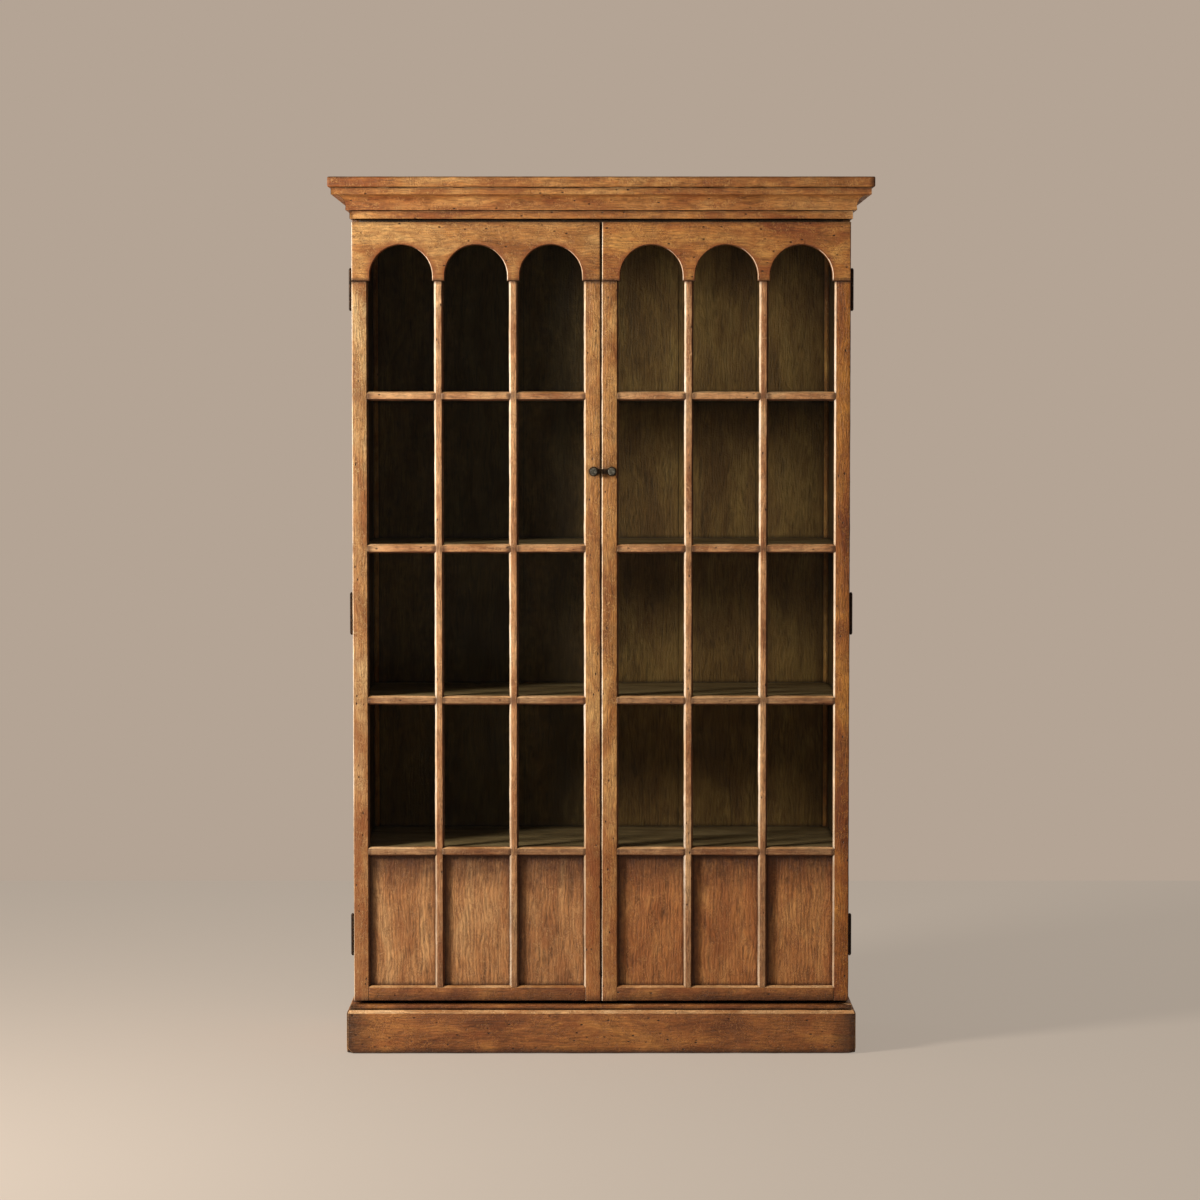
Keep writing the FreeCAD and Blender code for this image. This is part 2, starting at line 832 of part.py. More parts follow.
def header_blank():
    """The arched head board of a door, cut through with stilted arches and eased all round its face."""
    body = prism(
        "header_board",
        "XZ_Plane",
        rectangle(("meeting_edge", "side_face"), ("impost", "door_top")),
        "door_face - header_proud",
        "door_back",
    )
    for column in range(PANE_COLUMNS):
        arch = new_sketch(body, f"arch_{column + 1}", "XZ_Plane")
        draw_arch(arch, pane_centre(column))
        pocket = body.newObject("PartDesign::Pocket", f"arch_{column + 1}_cut")
        pocket.Profile = arch
        pocket.Type = "ThroughAll"
        pocket.Reversed = True
        doc.recompute()
        if pocket.Shape.Volume >= pocket.BaseFeature.Shape.Volume:
            raise RuntimeError("an arch cuts nothing")
    shape = body.Tip.Shape
    front = shape.BoundBox.YMin
    chosen = [
        f"Edge{index}"
        for index, edge in enumerate(shape.Edges, start=1)
        if edge.BoundBox.YMax < front + 1e-6
    ]
    sawn = body.Tip
    easing = body.newObject("PartDesign::Chamfer", "header_easing")
    easing.Base = (sawn, chosen)
    tie(easing, "Size", "header_chamfer")
    body.Tip = easing
    return body


def draw_arch(drawing, centre):
    """A half circle on two short uprights, closed along the foot of the board."""
    x, z, r, foot = number(centre), number("arch_centre"), number("arch_radius"), number("impost")
    top = drawing.addGeometry(Part.ArcOfCircle(Part.Circle(Vector(x, z, 0), Vector(0, 0, 1), r), 0, math.pi))
    corners = [Vector(x - r, z, 0), Vector(x - r, foot, 0), Vector(x + r, foot, 0), Vector(x + r, z, 0)]
    left, base, right = [drawing.addGeometry(Part.LineSegment(a, b)) for a, b in zip(corners, corners[1:])]
    for first, last in (((top, 2), (left, 1)), ((right, 2), (top, 1))):
        drawing.addConstraint(Sketcher.Constraint("Tangent", *first, *last))
    for first, last in (((left, 2), (base, 1)), ((base, 2), (right, 1))):
        drawing.addConstraint(Sketcher.Constraint("Coincident", *first, *last))
    drawing.addConstraint(Sketcher.Constraint("Horizontal", base))
    drawing.addConstraint(Sketcher.Constraint("Vertical", left))
    hold(drawing, "DistanceX", -1, 1, top, 3, text=centre)
    hold(drawing, "DistanceY", -1, 1, top, 3, text="arch_centre")
    hold(drawing, "Radius", top, text="arch_radius")
    hold(drawing, "DistanceY", -1, 1, base, 1, text="impost")


def door_blanks(door_cutters):
    """The right-hand door's pieces, before the latch and knobs are let in."""
    hinge_blank = stile_blank("hinge_stile", "side_face", "-")
    meeting_blank = stile_blank("meeting_stile", "meeting_edge", "+")
    rail_run = prism(
        "bottom_rail_run",
        "YZ_Plane",
        [
            ("door_face + door_edge_chamfer", "door_bottom"),
            ("door_back", "door_bottom"),
            ("door_back", "rail_top - rebate_width"),
            ("door_face + shoulder_depth", "rail_top - rebate_width"),
            ("door_face + shoulder_depth", "rail_top"),
            ("door_face + bevel_depth", "rail_top"),
            ("door_face", "rail_top - bevel_width"),
            ("door_face", "door_bottom + door_edge_chamfer"),
        ],
        "meeting_edge + stile_width - rebate_width - tenon_length",
        "side_face - stile_width + rebate_width + tenon_length",
    )
    rail = cut("bottom_rail_blank", rail_run, [hinge_blank, meeting_blank])
    mullions = []
    for column in range(PANE_COLUMNS - 1):
        middle = f"({pane_centre(column)} + pane_pitch / 2)"
        foot = "(door_bottom + rail_top) / 2"
        run = prism("mullion_run", "XY_Plane", bar_section("z", middle), foot, "impost")
        mullions.append(cut("mullion", run, [rail]))
    bars = []
    for row in range(BAR_ROWS):
        run = prism(
            "bar_run",
            "YZ_Plane",
            bar_section("x", bar_height(row)),
            "meeting_edge + stile_width / 2",
            "side_face - stile_width / 2",
        )
        bars.append(cut("bar", run, [hinge_blank, meeting_blank] + mullions))
    rebates = []
    for column in range(PANE_COLUMNS):
        width, height = pane_opening(column, BAR_ROWS - 1)
        depth = ("door_face + shoulder_depth", "door_back + overrun")
        rebates.append(box("header_rebate", width, depth, ("impost - overrun", "header_rebate_top")))
    head = cut("header_blank", header_blank(), rebates + [hinge_blank, meeting_blank] + door_cutters)
    panes = []
    panels = []
    beads = []
    for column in range(PANE_COLUMNS):
        panel, panel_beads = filling("panel", column, -1, "wood_panel_thickness")
        panels.append(panel)
        beads += panel_beads
        for row in range(BAR_ROWS):
            pane, pane_beads = filling("pane", column, row, "glass_thickness")
            panes.append(pane)
            beads += pane_beads
    return {
        "header": head,
        "hinge_stile": cut("hinge_stile_blank_cut", hinge_blank, door_cutters),
        "meeting_stile": meeting_blank,
        "bottom_rail": rail,
        "mullions": group("mullions", mullions),
        "bars": group("bars", bars),
        "panels": group("panels", panels),
        "glass": group("glass", panes),
        "glazing_beads": group("glazing_beads", beads),
    }


# knobs, slide bolt and keeper


def turned(name, outline, x, y, z):
    """A piece turned about an axis that points out of the door, drawn as (radius, height)."""
    body = doc.addObject("PartDesign::Body", name)
    drawing = new_sketch(body, f"{name}_profile", "XZ_Plane")
    draw(drawing, outline)
    spin = body.newObject("PartDesign::Revolution", f"{name}_turning")
    spin.Profile = drawing
    spin.ReferenceAxis = (drawing, ["V_Axis"])
    spin.Angle = 360
    body.Placement = FreeCAD.Placement(Vector(), FreeCAD.Rotation(Vector(1, 0, 0), 90))
    return place(body, x, y, z)


def knob(name, x, seat, spindle):
    """A mushroom knob on a stem, with an optional spindle through the door behind it."""
    neck = "knob_stem_length"
    rise = "(2 * (knob_length - knob_stem_length) / 3)"
    outline = [
        ("0", f"-({spindle})"),
        ("spindle_radius", f"-({spindle})"),
        ("spindle_radius", "0"),
        ("knob_stem_radius", "0"),
        ("knob_stem_radius", neck),
        ("knob_radius", f"knob_length - {rise}", f"(knob_radius^2 + {rise}^2) / (2 * {rise})", 1),
        ("0", "knob_length"),
    ]
    if spindle == "0":
        outline = [("0", "0")] + outline[3:]
    return turned(name, outline, x, seat, "latch_height")


def disc(name, x, front, back, radius):
    item = doc.addObject("Part::Cylinder", name)
    tie(item, "Radius", radius)
    tie(item, "Height", f"({back}) - ({front})")
    item.Placement = FreeCAD.Placement(Vector(), FreeCAD.Rotation(Vector(1, 0, 0), 90))
    return place(item, x, back, "latch_height")


def channel(name, x, bore_x):
    """A plate with a low casing on it, bored along x for the bolt."""
    half = "(channel_half + latch_wall)"
    height = (f"latch_height - {half}", f"latch_height + {half}")
    casing = box(f"{name}_casing", x, ("cover_front", "door_face"), height)
    bore = box(
        f"{name}_bore",
        bore_x,
        ("cover_back", "bolt_back + bolt_clearance"),
        ("latch_height - channel_half", "latch_height + channel_half"),
    )
    return casing, bore


def small_screw(name, x, y, z, clearance="0"):
    """A small screw driven into the door from its face."""
    sizes = ("latch_screw_radius", "latch_screw_head_radius", "latch_screw_length")
    return screw(name, x, y, z, -90, *sizes, clearance)


def latch_parts():
    """Makes the latch and knobs and returns the cutters for the left and the right meeting stile."""
    knob_x = "-left_knob_offset"
    bolt_left = "(-left_knob_offset - bolt_tail)"
    bolt_right = "(-meeting_edge - latch_end_gap / 2)"
    casing, bore = channel(
        "latch_housing",
        (bolt_left, "-meeting_edge - latch_end_gap"),
        (f"{bolt_left} - overrun", "0"),
    )
    rose = disc("latch_rose", knob_x, "door_face - latch_wall", "door_face", "rose_radius")
    slot_half = "(knob_stem_radius + bolt_clearance)"
    slot = box(
        "latch_slot",
        (f"{knob_x} - {slot_half}", f"{knob_x} + bolt_travel + {slot_half}"),
        ("cover_front - overrun", "cover_back + bolt_clearance"),
        (f"latch_height - {slot_half}", f"latch_height + {slot_half}"),
    )
    screws = []
    holes = {"left": [], "right": []}
    keeper_x = ("meeting_edge + keeper_end_gap", "meeting_edge + keeper_end_gap + keeper_length")
    mouth_x = (f"{keeper_x[0]} - overrun", f"{keeper_x[0]} + keeper_mouth")
    keeper_screw_x = f"(({mouth_x[1]} + {keeper_x[1]}) / 2)"
    places = [
        ("left", knob_x, "door_face - latch_wall", "latch_height + rose_screw_offset"),
        ("left", knob_x, "door_face - latch_wall", "latch_height - rose_screw_offset"),
        ("right", "right_knob_offset", "door_face - rose_thickness", "latch_height + rose_screw_offset"),
        ("right", "right_knob_offset", "door_face - rose_thickness", "latch_height - rose_screw_offset"),
        ("right", keeper_screw_x, "cover_front", "latch_height"),
    ]
    for side, x, y, z in places:
        screws.append(small_screw("latch_screw", x, y, z))
        holes[side].append(small_screw("latch_screw_hole", x, y, z, "screw_clearance"))
    keep(cut("latch_housing", joined("latch_housing_blank", [casing, rose]), [bore, slot] + holes["left"]))
    bolt_z = ("latch_height - bolt_height / 2", "latch_height + bolt_height / 2")
    keep(box("latch_bolt", (bolt_left, bolt_right), ("bolt_front", "bolt_back"), bolt_z))
    keep(knob("latch_knob", knob_x, "bolt_front", "0"))
    keeper_casing, mouth = channel("latch_keeper", keeper_x, mouth_x)
    keep(cut("latch_keeper", keeper_casing, [mouth] + holes["right"]))
    keep(group("latch_screws_left", screws[:2]))
    keep(group("latch_screws_right", screws[2:]))
    spindle_hole = disc(
        "spindle_hole",
        "right_knob_offset",
        "door_face - rose_thickness - overrun",
        "door_back + nut_thickness + overrun",
        "spindle_radius + spindle_clearance",
    )
    rose_front = "door_face - rose_thickness"
    rose = disc("right_knob_rose_blank", "right_knob_offset", rose_front, "door_face", "rose_radius")
    keep(cut("right_knob_rose", rose, [spindle_hole] + holes["right"]))
    reach = "rose_thickness + door_thickness + nut_thickness"
    keep(knob("right_knob", "right_knob_offset", "door_face - rose_thickness", reach))
    nut_back = "door_back + nut_thickness"
    nut = disc("right_knob_nut_blank", "right_knob_offset", "door_back", nut_back, "nut_radius")
    keep(cut("right_knob_nut", nut, [spindle_hole]))
    return holes["left"], holes["right"] + [spindle_hole]


def door_parts(door_cutters, left_holes, right_holes):
    """Both doors: the left one mirrors the right one, and each has its own holes for the latch."""
    blanks = door_blanks(door_cutters)
    holes = {"left": left_holes, "right": right_holes}
    for side in ("left", "right"):
        for piece, blank in blanks.items():
            node = f"{side}_door_{piece}"
            if piece == "meeting_stile":
                base = mirrored(f"{node}_blank", blank) if side == "left" else blank
                keep(cut(node, base, holes[side]))
            elif side == "left":
                keep(mirrored(node, blank))
            else:
                keep(group(node, [blank]))


carcass_cutters, door_cutters = hinge_parts()
plinth_parts()
cornice_parts()
carcass_parts(carcass_cutters)
left_holes, right_holes = latch_parts()
door_parts(door_cutters, left_holes, right_holes)
doc.recompute()

for item in doc.Objects:
    if {"Invalid", "Error"} & set(item.State):
        raise RuntimeError(f"{item.Label} is {item.State}")
for item in kept:
    if item.Shape.isNull() or not item.Shape.isValid() or not item.Shape.Solids:
        raise RuntimeError(f"{item.Label} has no valid solid")

os.makedirs("parts", exist_ok=True)
for item in kept:
    item.Shape.exportStep(f"parts/{item.Label}.step")
print(f"{len(kept)} sub-parts, {sum(len(item.Shape.Solids) for item in kept)} solids")
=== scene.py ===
"""The looks of a tall display cabinet with arched glazed doors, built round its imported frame.

Metres, +Z up, the doors face -Y. Sizes that the frame holds are read from its nodes.
"""

import logging
import math
from contextlib import contextmanager
from dataclasses import dataclass, replace
from enum import Enum, IntEnum
from typing import Callable, Iterator, Sequence

import bmesh
import bpy
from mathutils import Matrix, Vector

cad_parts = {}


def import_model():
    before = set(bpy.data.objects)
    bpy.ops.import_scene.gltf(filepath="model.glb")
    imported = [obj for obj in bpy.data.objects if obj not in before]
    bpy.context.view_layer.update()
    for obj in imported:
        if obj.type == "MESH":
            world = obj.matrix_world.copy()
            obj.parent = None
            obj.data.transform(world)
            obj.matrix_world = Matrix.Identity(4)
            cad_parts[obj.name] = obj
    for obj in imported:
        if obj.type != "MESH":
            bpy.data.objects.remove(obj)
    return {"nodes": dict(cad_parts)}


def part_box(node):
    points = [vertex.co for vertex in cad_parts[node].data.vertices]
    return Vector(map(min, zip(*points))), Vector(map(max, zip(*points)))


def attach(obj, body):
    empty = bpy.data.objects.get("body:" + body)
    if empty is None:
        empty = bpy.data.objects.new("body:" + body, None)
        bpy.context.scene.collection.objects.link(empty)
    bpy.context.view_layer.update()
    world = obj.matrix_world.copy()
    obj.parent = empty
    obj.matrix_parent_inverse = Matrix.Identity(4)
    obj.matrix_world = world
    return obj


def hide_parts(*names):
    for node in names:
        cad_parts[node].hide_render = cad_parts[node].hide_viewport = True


LOG = logging.getLogger("cabinet")
MM = 0.001
# How many flat sides stand for a sawn or planed curve's full circle.
ROUND_SIDES = 96
PANE_COLUMNS = 3
BAR_ROWS = 4
# How far a cutter reaches past what it cuts.
OVERRUN = 20 * MM
# Corners nearer than this are one corner, and faces that meet at less than this angle are one face.
WELD = 0.01 * MM
FLAT = math.radians(0.5)
Piece = bpy.types.Object
Face = bpy.types.MeshPolygon
Material = bpy.types.Material
Socket = bpy.types.NodeSocket


class Grain(Enum):
    """One of the cabinet's axes, by its number, most often the one that a board's fibres run along."""

    ACROSS = 0
    DEEP = 1
    UPRIGHT = 2


class Side(Enum):
    """A side of the cabinet, as the names of its pieces have it."""

    FRONT = "front"
    LEFT = "left"
    RIGHT = "right"

    @property
    def grain(self) -> Grain:
        """The run of the boards along this side."""
        return Grain.ACROSS if self is Side.FRONT else Grain.DEEP


class Bevel(IntEnum):
    """The finishes of a door's wood, by their slots: plain, painted highlight, painted shade, and worn and
    painted lighter.
    """

    PLAIN = 0
    BLEACHED = 1
    WAXED = 2
    WORN = 3


DOOR_SIDES = (Side.LEFT, Side.RIGHT)


def colour(hex_value: str, alpha: float = 1.0) -> tuple[float, float, float, float]:
    """Turns an sRGB hex colour into the linear values that shaders take.

    Args:
        hex_value: Six hex digits after a hash sign.
        alpha: The fourth value.

    Returns:
        Red, green, blue and alpha.
    """
    parts = [int(hex_value[i : i + 2], 16) / 255 for i in (1, 3, 5)]
    linear = [c / 12.92 if c <= 0.04045 else ((c + 0.055) / 1.055) ** 2.4 for c in parts]
    return (*linear, alpha)


def per_metre(size_mm: float) -> float:
    """The texture scale that gives features of about that size in millimetres."""
    return 1 / (size_mm * MM)


# workbench


def alone(piece: Piece) -> None:
    """Selects one object and nothing else, and makes it the active one.

    Args:
        piece: The object.
    """
    bpy.ops.object.select_all(action="DESELECT")
    piece.select_set(True)
    bpy.context.view_layer.objects.active = piece


@contextmanager
def editing(piece: Piece) -> Iterator[None]:
    """Holds one object in edit mode for a with statement, with all of its mesh selected at the start.

    Args:
        piece: The object.

    Yields:
        None, once the object is in edit mode.
    """
    alone(piece)
    bpy.ops.object.mode_set(mode="EDIT")
    bpy.ops.mesh.select_mode(type="VERT")
    bpy.ops.mesh.select_all(action="SELECT")
    yield
    bpy.ops.object.mode_set(mode="OBJECT")


def settle() -> None:
    """Moves the active object's place, turn and size into its mesh."""
    bpy.ops.object.transform_apply(location=True, rotation=True, scale=True)


def pick(piece: Piece, kind: str, wanted: Callable) -> None:
    """Selects the edges or the faces that pass a test, in edit mode.

    Args:
        piece: The object.
        kind: EDGE or FACE.
        wanted: The test, which is given one edge or one face.
    """
    bpy.ops.mesh.select_mode(type=kind)
    bpy.ops.mesh.select_all(action="DESELECT")
    mesh = bmesh.from_edit_mesh(piece.data)
    for element in mesh.faces if kind == "FACE" else mesh.edges:
        if wanted(element):
            element.select_set(True)
    bmesh.update_edit_mesh(piece.data)


def block(name: str, low: Sequence[float], high: Sequence[float]) -> Piece:
    """A squared block of stock between two corners, with its place in its mesh.

    Args:
        name: The object's name.
        low: The lowest corner.
        high: The highest corner.

    Returns:
        The new object.
    """
    low, high = Vector(low), Vector(high)
    bpy.ops.object.select_all(action="DESELECT")
    bpy.ops.mesh.primitive_cube_add(size=1, location=(low + high) / 2, scale=high - low)
    piece = bpy.context.object
    settle()
    piece.name = name
    return piece


def rod(middle: Sequence[float], radius: float, length: float, turn: Sequence[float], sides: int) -> Piece:
    """A round bar.

    Args:
        middle: Where its middle is.
        radius: Its radius.
        length: Its length.
        turn: How it is turned from upright, in radians about each axis.
        sides: How many flat sides stand for its roundness.

    Returns:
        The new object.
    """
    bpy.ops.object.select_all(action="DESELECT")
    bpy.ops.mesh.primitive_cylinder_add(
        vertices=sides, radius=radius, depth=length, location=middle, rotation=turn
    )
    settle()
    return bpy.context.object


def plane_off(piece: Piece, point: Sequence[float], outward: Sequence[float]) -> None:
    """Planes away all that lies on the outward side of a flat cut.

    Args:
        piece: What is planed.
        point: A point of the cut.
        outward: The way that the new face looks, of any length.
    """
    with editing(piece):
        normal = Vector(outward).normalized()
        bpy.ops.mesh.bisect(plane_co=point, plane_no=normal, use_fill=True, clear_outer=True)


def cut_with(piece: Piece, cutter: Piece, keep: bool = False) -> None:
    """Cuts one shape out of another.

    Args:
        piece: What is cut.
        cutter: The shape that is taken away.
        keep: Whether the cutter stays for more cuts.
    """
    cut = piece.modifiers.new("cut", "BOOLEAN")
    cut.operation = "DIFFERENCE"
    cut.solver = "EXACT"
    cut.object = cutter
    alone(piece)
    bpy.ops.object.modifier_apply(modifier=cut.name)
    if not keep:
        bpy.data.objects.remove(cutter)
    with editing(piece):
        bpy.ops.mesh.remove_doubles(threshold=WELD)
        bpy.ops.mesh.dissolve_limited(angle_limit=FLAT)


def cut_block(piece: Piece, low: Sequence[float], high: Sequence[float]) -> None:
    """Cuts a squared recess between two corners."""
    cut_with(piece, block("cutter", low, high))


def copied(
    piece: Piece, name: str, shift: Sequence[float] = (0, 0, 0), mirror: bool = False
) -> Piece:
    """A copy with its own mesh, moved and perhaps mirrored left to right.

    Args:
        piece: What is copied.
        name: The copy's name.
        shift: How far the copy is moved.
        mirror: Whether it is mirrored across the middle of the cabinet first.

    Returns:
        The copy.
    """
    alone(piece)
    bpy.ops.object.duplicate()
    copy = bpy.context.object
    copy.name = name
    if mirror:
        copy.scale = (-1, 1, 1)
    copy.location = shift
    settle()
    if mirror:
        with editing(copy):
            if bmesh.from_edit_mesh(copy.data).calc_volume(signed=True) < 0:
                bpy.ops.mesh.flip_normals()
    return copy


def joined(name: str, pieces: Sequence[Piece]) -> Piece:
    """Several shapes as one object.

    Args:
        name: The object's name.
        pieces: The shapes.

    Returns:
        The first of them, with the others in it.
    """
    alone(pieces[0])
    for piece in pieces:
        piece.select_set(True)
    if len(pieces) > 1:
        bpy.ops.object.join()
    pieces[0].name = name
    return pieces[0]


def soften(piece: Piece, width: float, segments: int = 2, angle: float = 25) -> None:
    """Rounds every arris over.

    Args:
        piece: The shape.
        width: How far the rounding reaches from the arris.
        segments: How many faces it has.
        angle: Edges sharper than this many degrees are rounded.
    """
    with editing(piece):
        bpy.ops.mesh.select_mode(type="EDGE")
        bpy.ops.mesh.select_all(action="DESELECT")
        bpy.ops.mesh.edges_select_sharp(sharpness=math.radians(angle))
        bpy.ops.mesh.bevel(offset=width, segments=segments, profile=0.5, clamp_overlap=True)


def divide(piece: Piece, axis: Grain, step: float) -> None:
    """Cuts loops across a piece at an even step, so that it can bend along that axis.

    Args:
        piece: The object.
        axis: The axis that the loops lie across.
        step: About how far apart they are.
    """
    places = [corner[axis.value] for corner in piece.bound_box]
    low, high = min(places), max(places)
    count = max(1, round((high - low) / step))
    normal = [float(index == axis.value) for index in range(3)]
    with editing(piece):
        for index in range(1, count):
            point = [0.0, 0.0, 0.0]
            point[axis.value] = low + (high - low) * index / count
            bpy.ops.mesh.select_all(action="SELECT")
            bpy.ops.mesh.bisect(plane_co=point, plane_no=normal)


@dataclass(frozen=True)
class Wear:
    """How far handling and shrinkage have moved a surface, in metres.

    Args:
        wander: How far a long edge leaves the straight, over a hand's width.
        dents: How deep the small knocks are.
        inward: Whether wear only takes wood away, as it must on the outermost faces.
        wander_size: How long the bends are.
        dent_size: How wide the knocks are.
        keeping: The level of the noise that moves nothing.
        taking: The same for wear that goes inward, above all but the rarest of the noise.
    """

    wander: float = 1.0 * MM
    dents: float = 0.7 * MM
    inward: bool = False
    wander_size: float = 90 * MM
    dent_size: float = 14 * MM
    keeping: float = 0.5
    taking: float = 1.05

    def apply(self, piece: Piece) -> None:
        """Moves the surface along its normals by two sizes of cloudy noise.

        Args:
            piece: What is worn.
        """
        sizes = (("wander", self.wander, self.wander_size), ("dents", self.dents, self.dent_size))
        for label, depth, size in sizes:
            noise = bpy.data.textures.get(label) or bpy.data.textures.new(label, "CLOUDS")
            noise.noise_scale = size
            noise.noise_depth = 2
            move = piece.modifiers.new(label, "DISPLACE")
            move.texture = noise
            move.texture_coords = "LOCAL"
            move.strength = depth
            move.mid_level = self.taking if self.inward else self.keeping
            alone(piece)
            bpy.ops.object.modifier_apply(modifier=move.name)


def smooth(piece: Piece, angle: float = 35) -> None:
    """Shades faces that meet at less than the angle as one surface."""
    alone(piece)
    bpy.ops.object.shade_smooth_by_angle(angle=math.radians(angle))


# finishes


def grey(value: float) -> tuple[float, float, float, float]:
    """A neutral ramp colour."""
    return (value, value, value, 1)


def along(grain: Grain, run: float, across: float) -> list[float]:
    """Three scales: one for the run of the grain, another across it."""
    return [run if axis is grain else across for axis in Grain]


class Nodes:
    """The nodes of one material or world."""

    def __init__(self, owner: Material | bpy.types.World) -> None:
        """Empties the owner's node tree.

        Args:
            owner: The material or world.
        """
        owner.use_nodes = True
        self.tree = owner.node_tree
        self.tree.nodes.clear()

    def add(
        self, kind: str, *inputs: object, out: int | str | None = 0, stops: Sequence = (), **more: object
    ) -> Socket:
        """Adds one shader node with its settings and links.

        Args:
            kind: The node's type name, without its Blender prefix.
            *inputs: What goes into its first sockets: constants, or sockets to link.
            out: Which output is wanted, or None for all of them.
            stops: The places and tones of a colour ramp.
            **more: Other sockets, whose names start with a capital, and the node's own settings.

        Returns:
            The output.
        """
        node = self.tree.nodes.new(f"ShaderNode{kind}")
        named = {name: more.pop(name) for name in list(more) if name[0].isupper()}
        for name, value in more.items():
            setattr(node, name, value)
        for name, value in (*enumerate(inputs), *named.items()):
            socket = node.inputs[name if isinstance(name, int) else name.replace("_", " ")]
            if isinstance(value, Socket):
                self.tree.links.new(value, socket)
            else:
                socket.default_value = value
        if stops:
            elements = node.color_ramp.elements
            while len(elements) < len(stops):
                elements.new(1)
            for element, (place, tone) in zip(elements, stops):
                element.position = place
                element.color = tone
        return node.outputs if out is None else node.outputs[out]


# Sizes of the wood's patterns, in millimetres: slow changes of tone, reddish stains, cloudy mottling, bends
# of the year rings, patches where those show well, and gaps between strokes.
DRIFT, STAINS, MOTTLE, BENDS, PATCHES, GAPS = 210, 95, 48, 42, 40, 23
# Ragged edges of the bands of dirt and painted shade, ragged edges of the wax round the arches,
# the cells that may hold a hole, and strokes.
RAGGED, ARCH_RAGGED, HOLE_CELLS, CURLS = 16, 14, 15, 13
# Scales of iron oxide, and waves of drawn glass.
SCALES, WAVES = 6, 60
# How deep a corner has to be to hold dirt and painted shade.
DIRT_AND_SHADE_DEPTH = 10 * MM


@dataclass(frozen=True)
class Finish:
    """The start of every finish.

    Args:
        name: What its materials are called.
    """

    name: str

    def material(self, suffix: str, surface: Callable[[Callable], Socket]) -> Material:
        """The material with that name, made on its first use.

        Args:
            suffix: What follows the finish's name in the material's.
            surface: Adds the shader's nodes with the function that it is given, and returns the shader.

        Returns:
            The material.
        """
        title = self.name + suffix
        material = bpy.data.materials.get(title)
        if not material:
            material = bpy.data.materials.new(title)
            nodes = Nodes(material)
            nodes.add("OutputMaterial", surface(nodes.add), out=None)
        return material


@dataclass(frozen=True)
class SoilAndShade:
    """A band of dirt and dark wax where pieces meet and cloths don't reach, of red-brown floor wax, or of
    painted shade.

    Args:
        axis: The axis that the band lies across.
        place: Where its middle is on that axis.
        reach: How far it fades out to each side.
        strength: How dark its middle is, 0 to 1.
        red: Whether it is red-brown wax.
    """

    axis: Grain
    place: float
    reach: float
    strength: float
    red: bool = False


@dataclass(frozen=True)
class Ring:
    """A band of red-brown wax round an arch, on both doors alike.

    Args:
        across: How far the arch's middle is from the middle of the cabinet.
        up: How high its middle is.
        radius: The arch's radius.
        reach: How far the wax fades out.
        strength: How much of it there is at the edge, 0 to 1.
    """

    across: float
    up: float
    radius: float
    reach: float
    strength: float


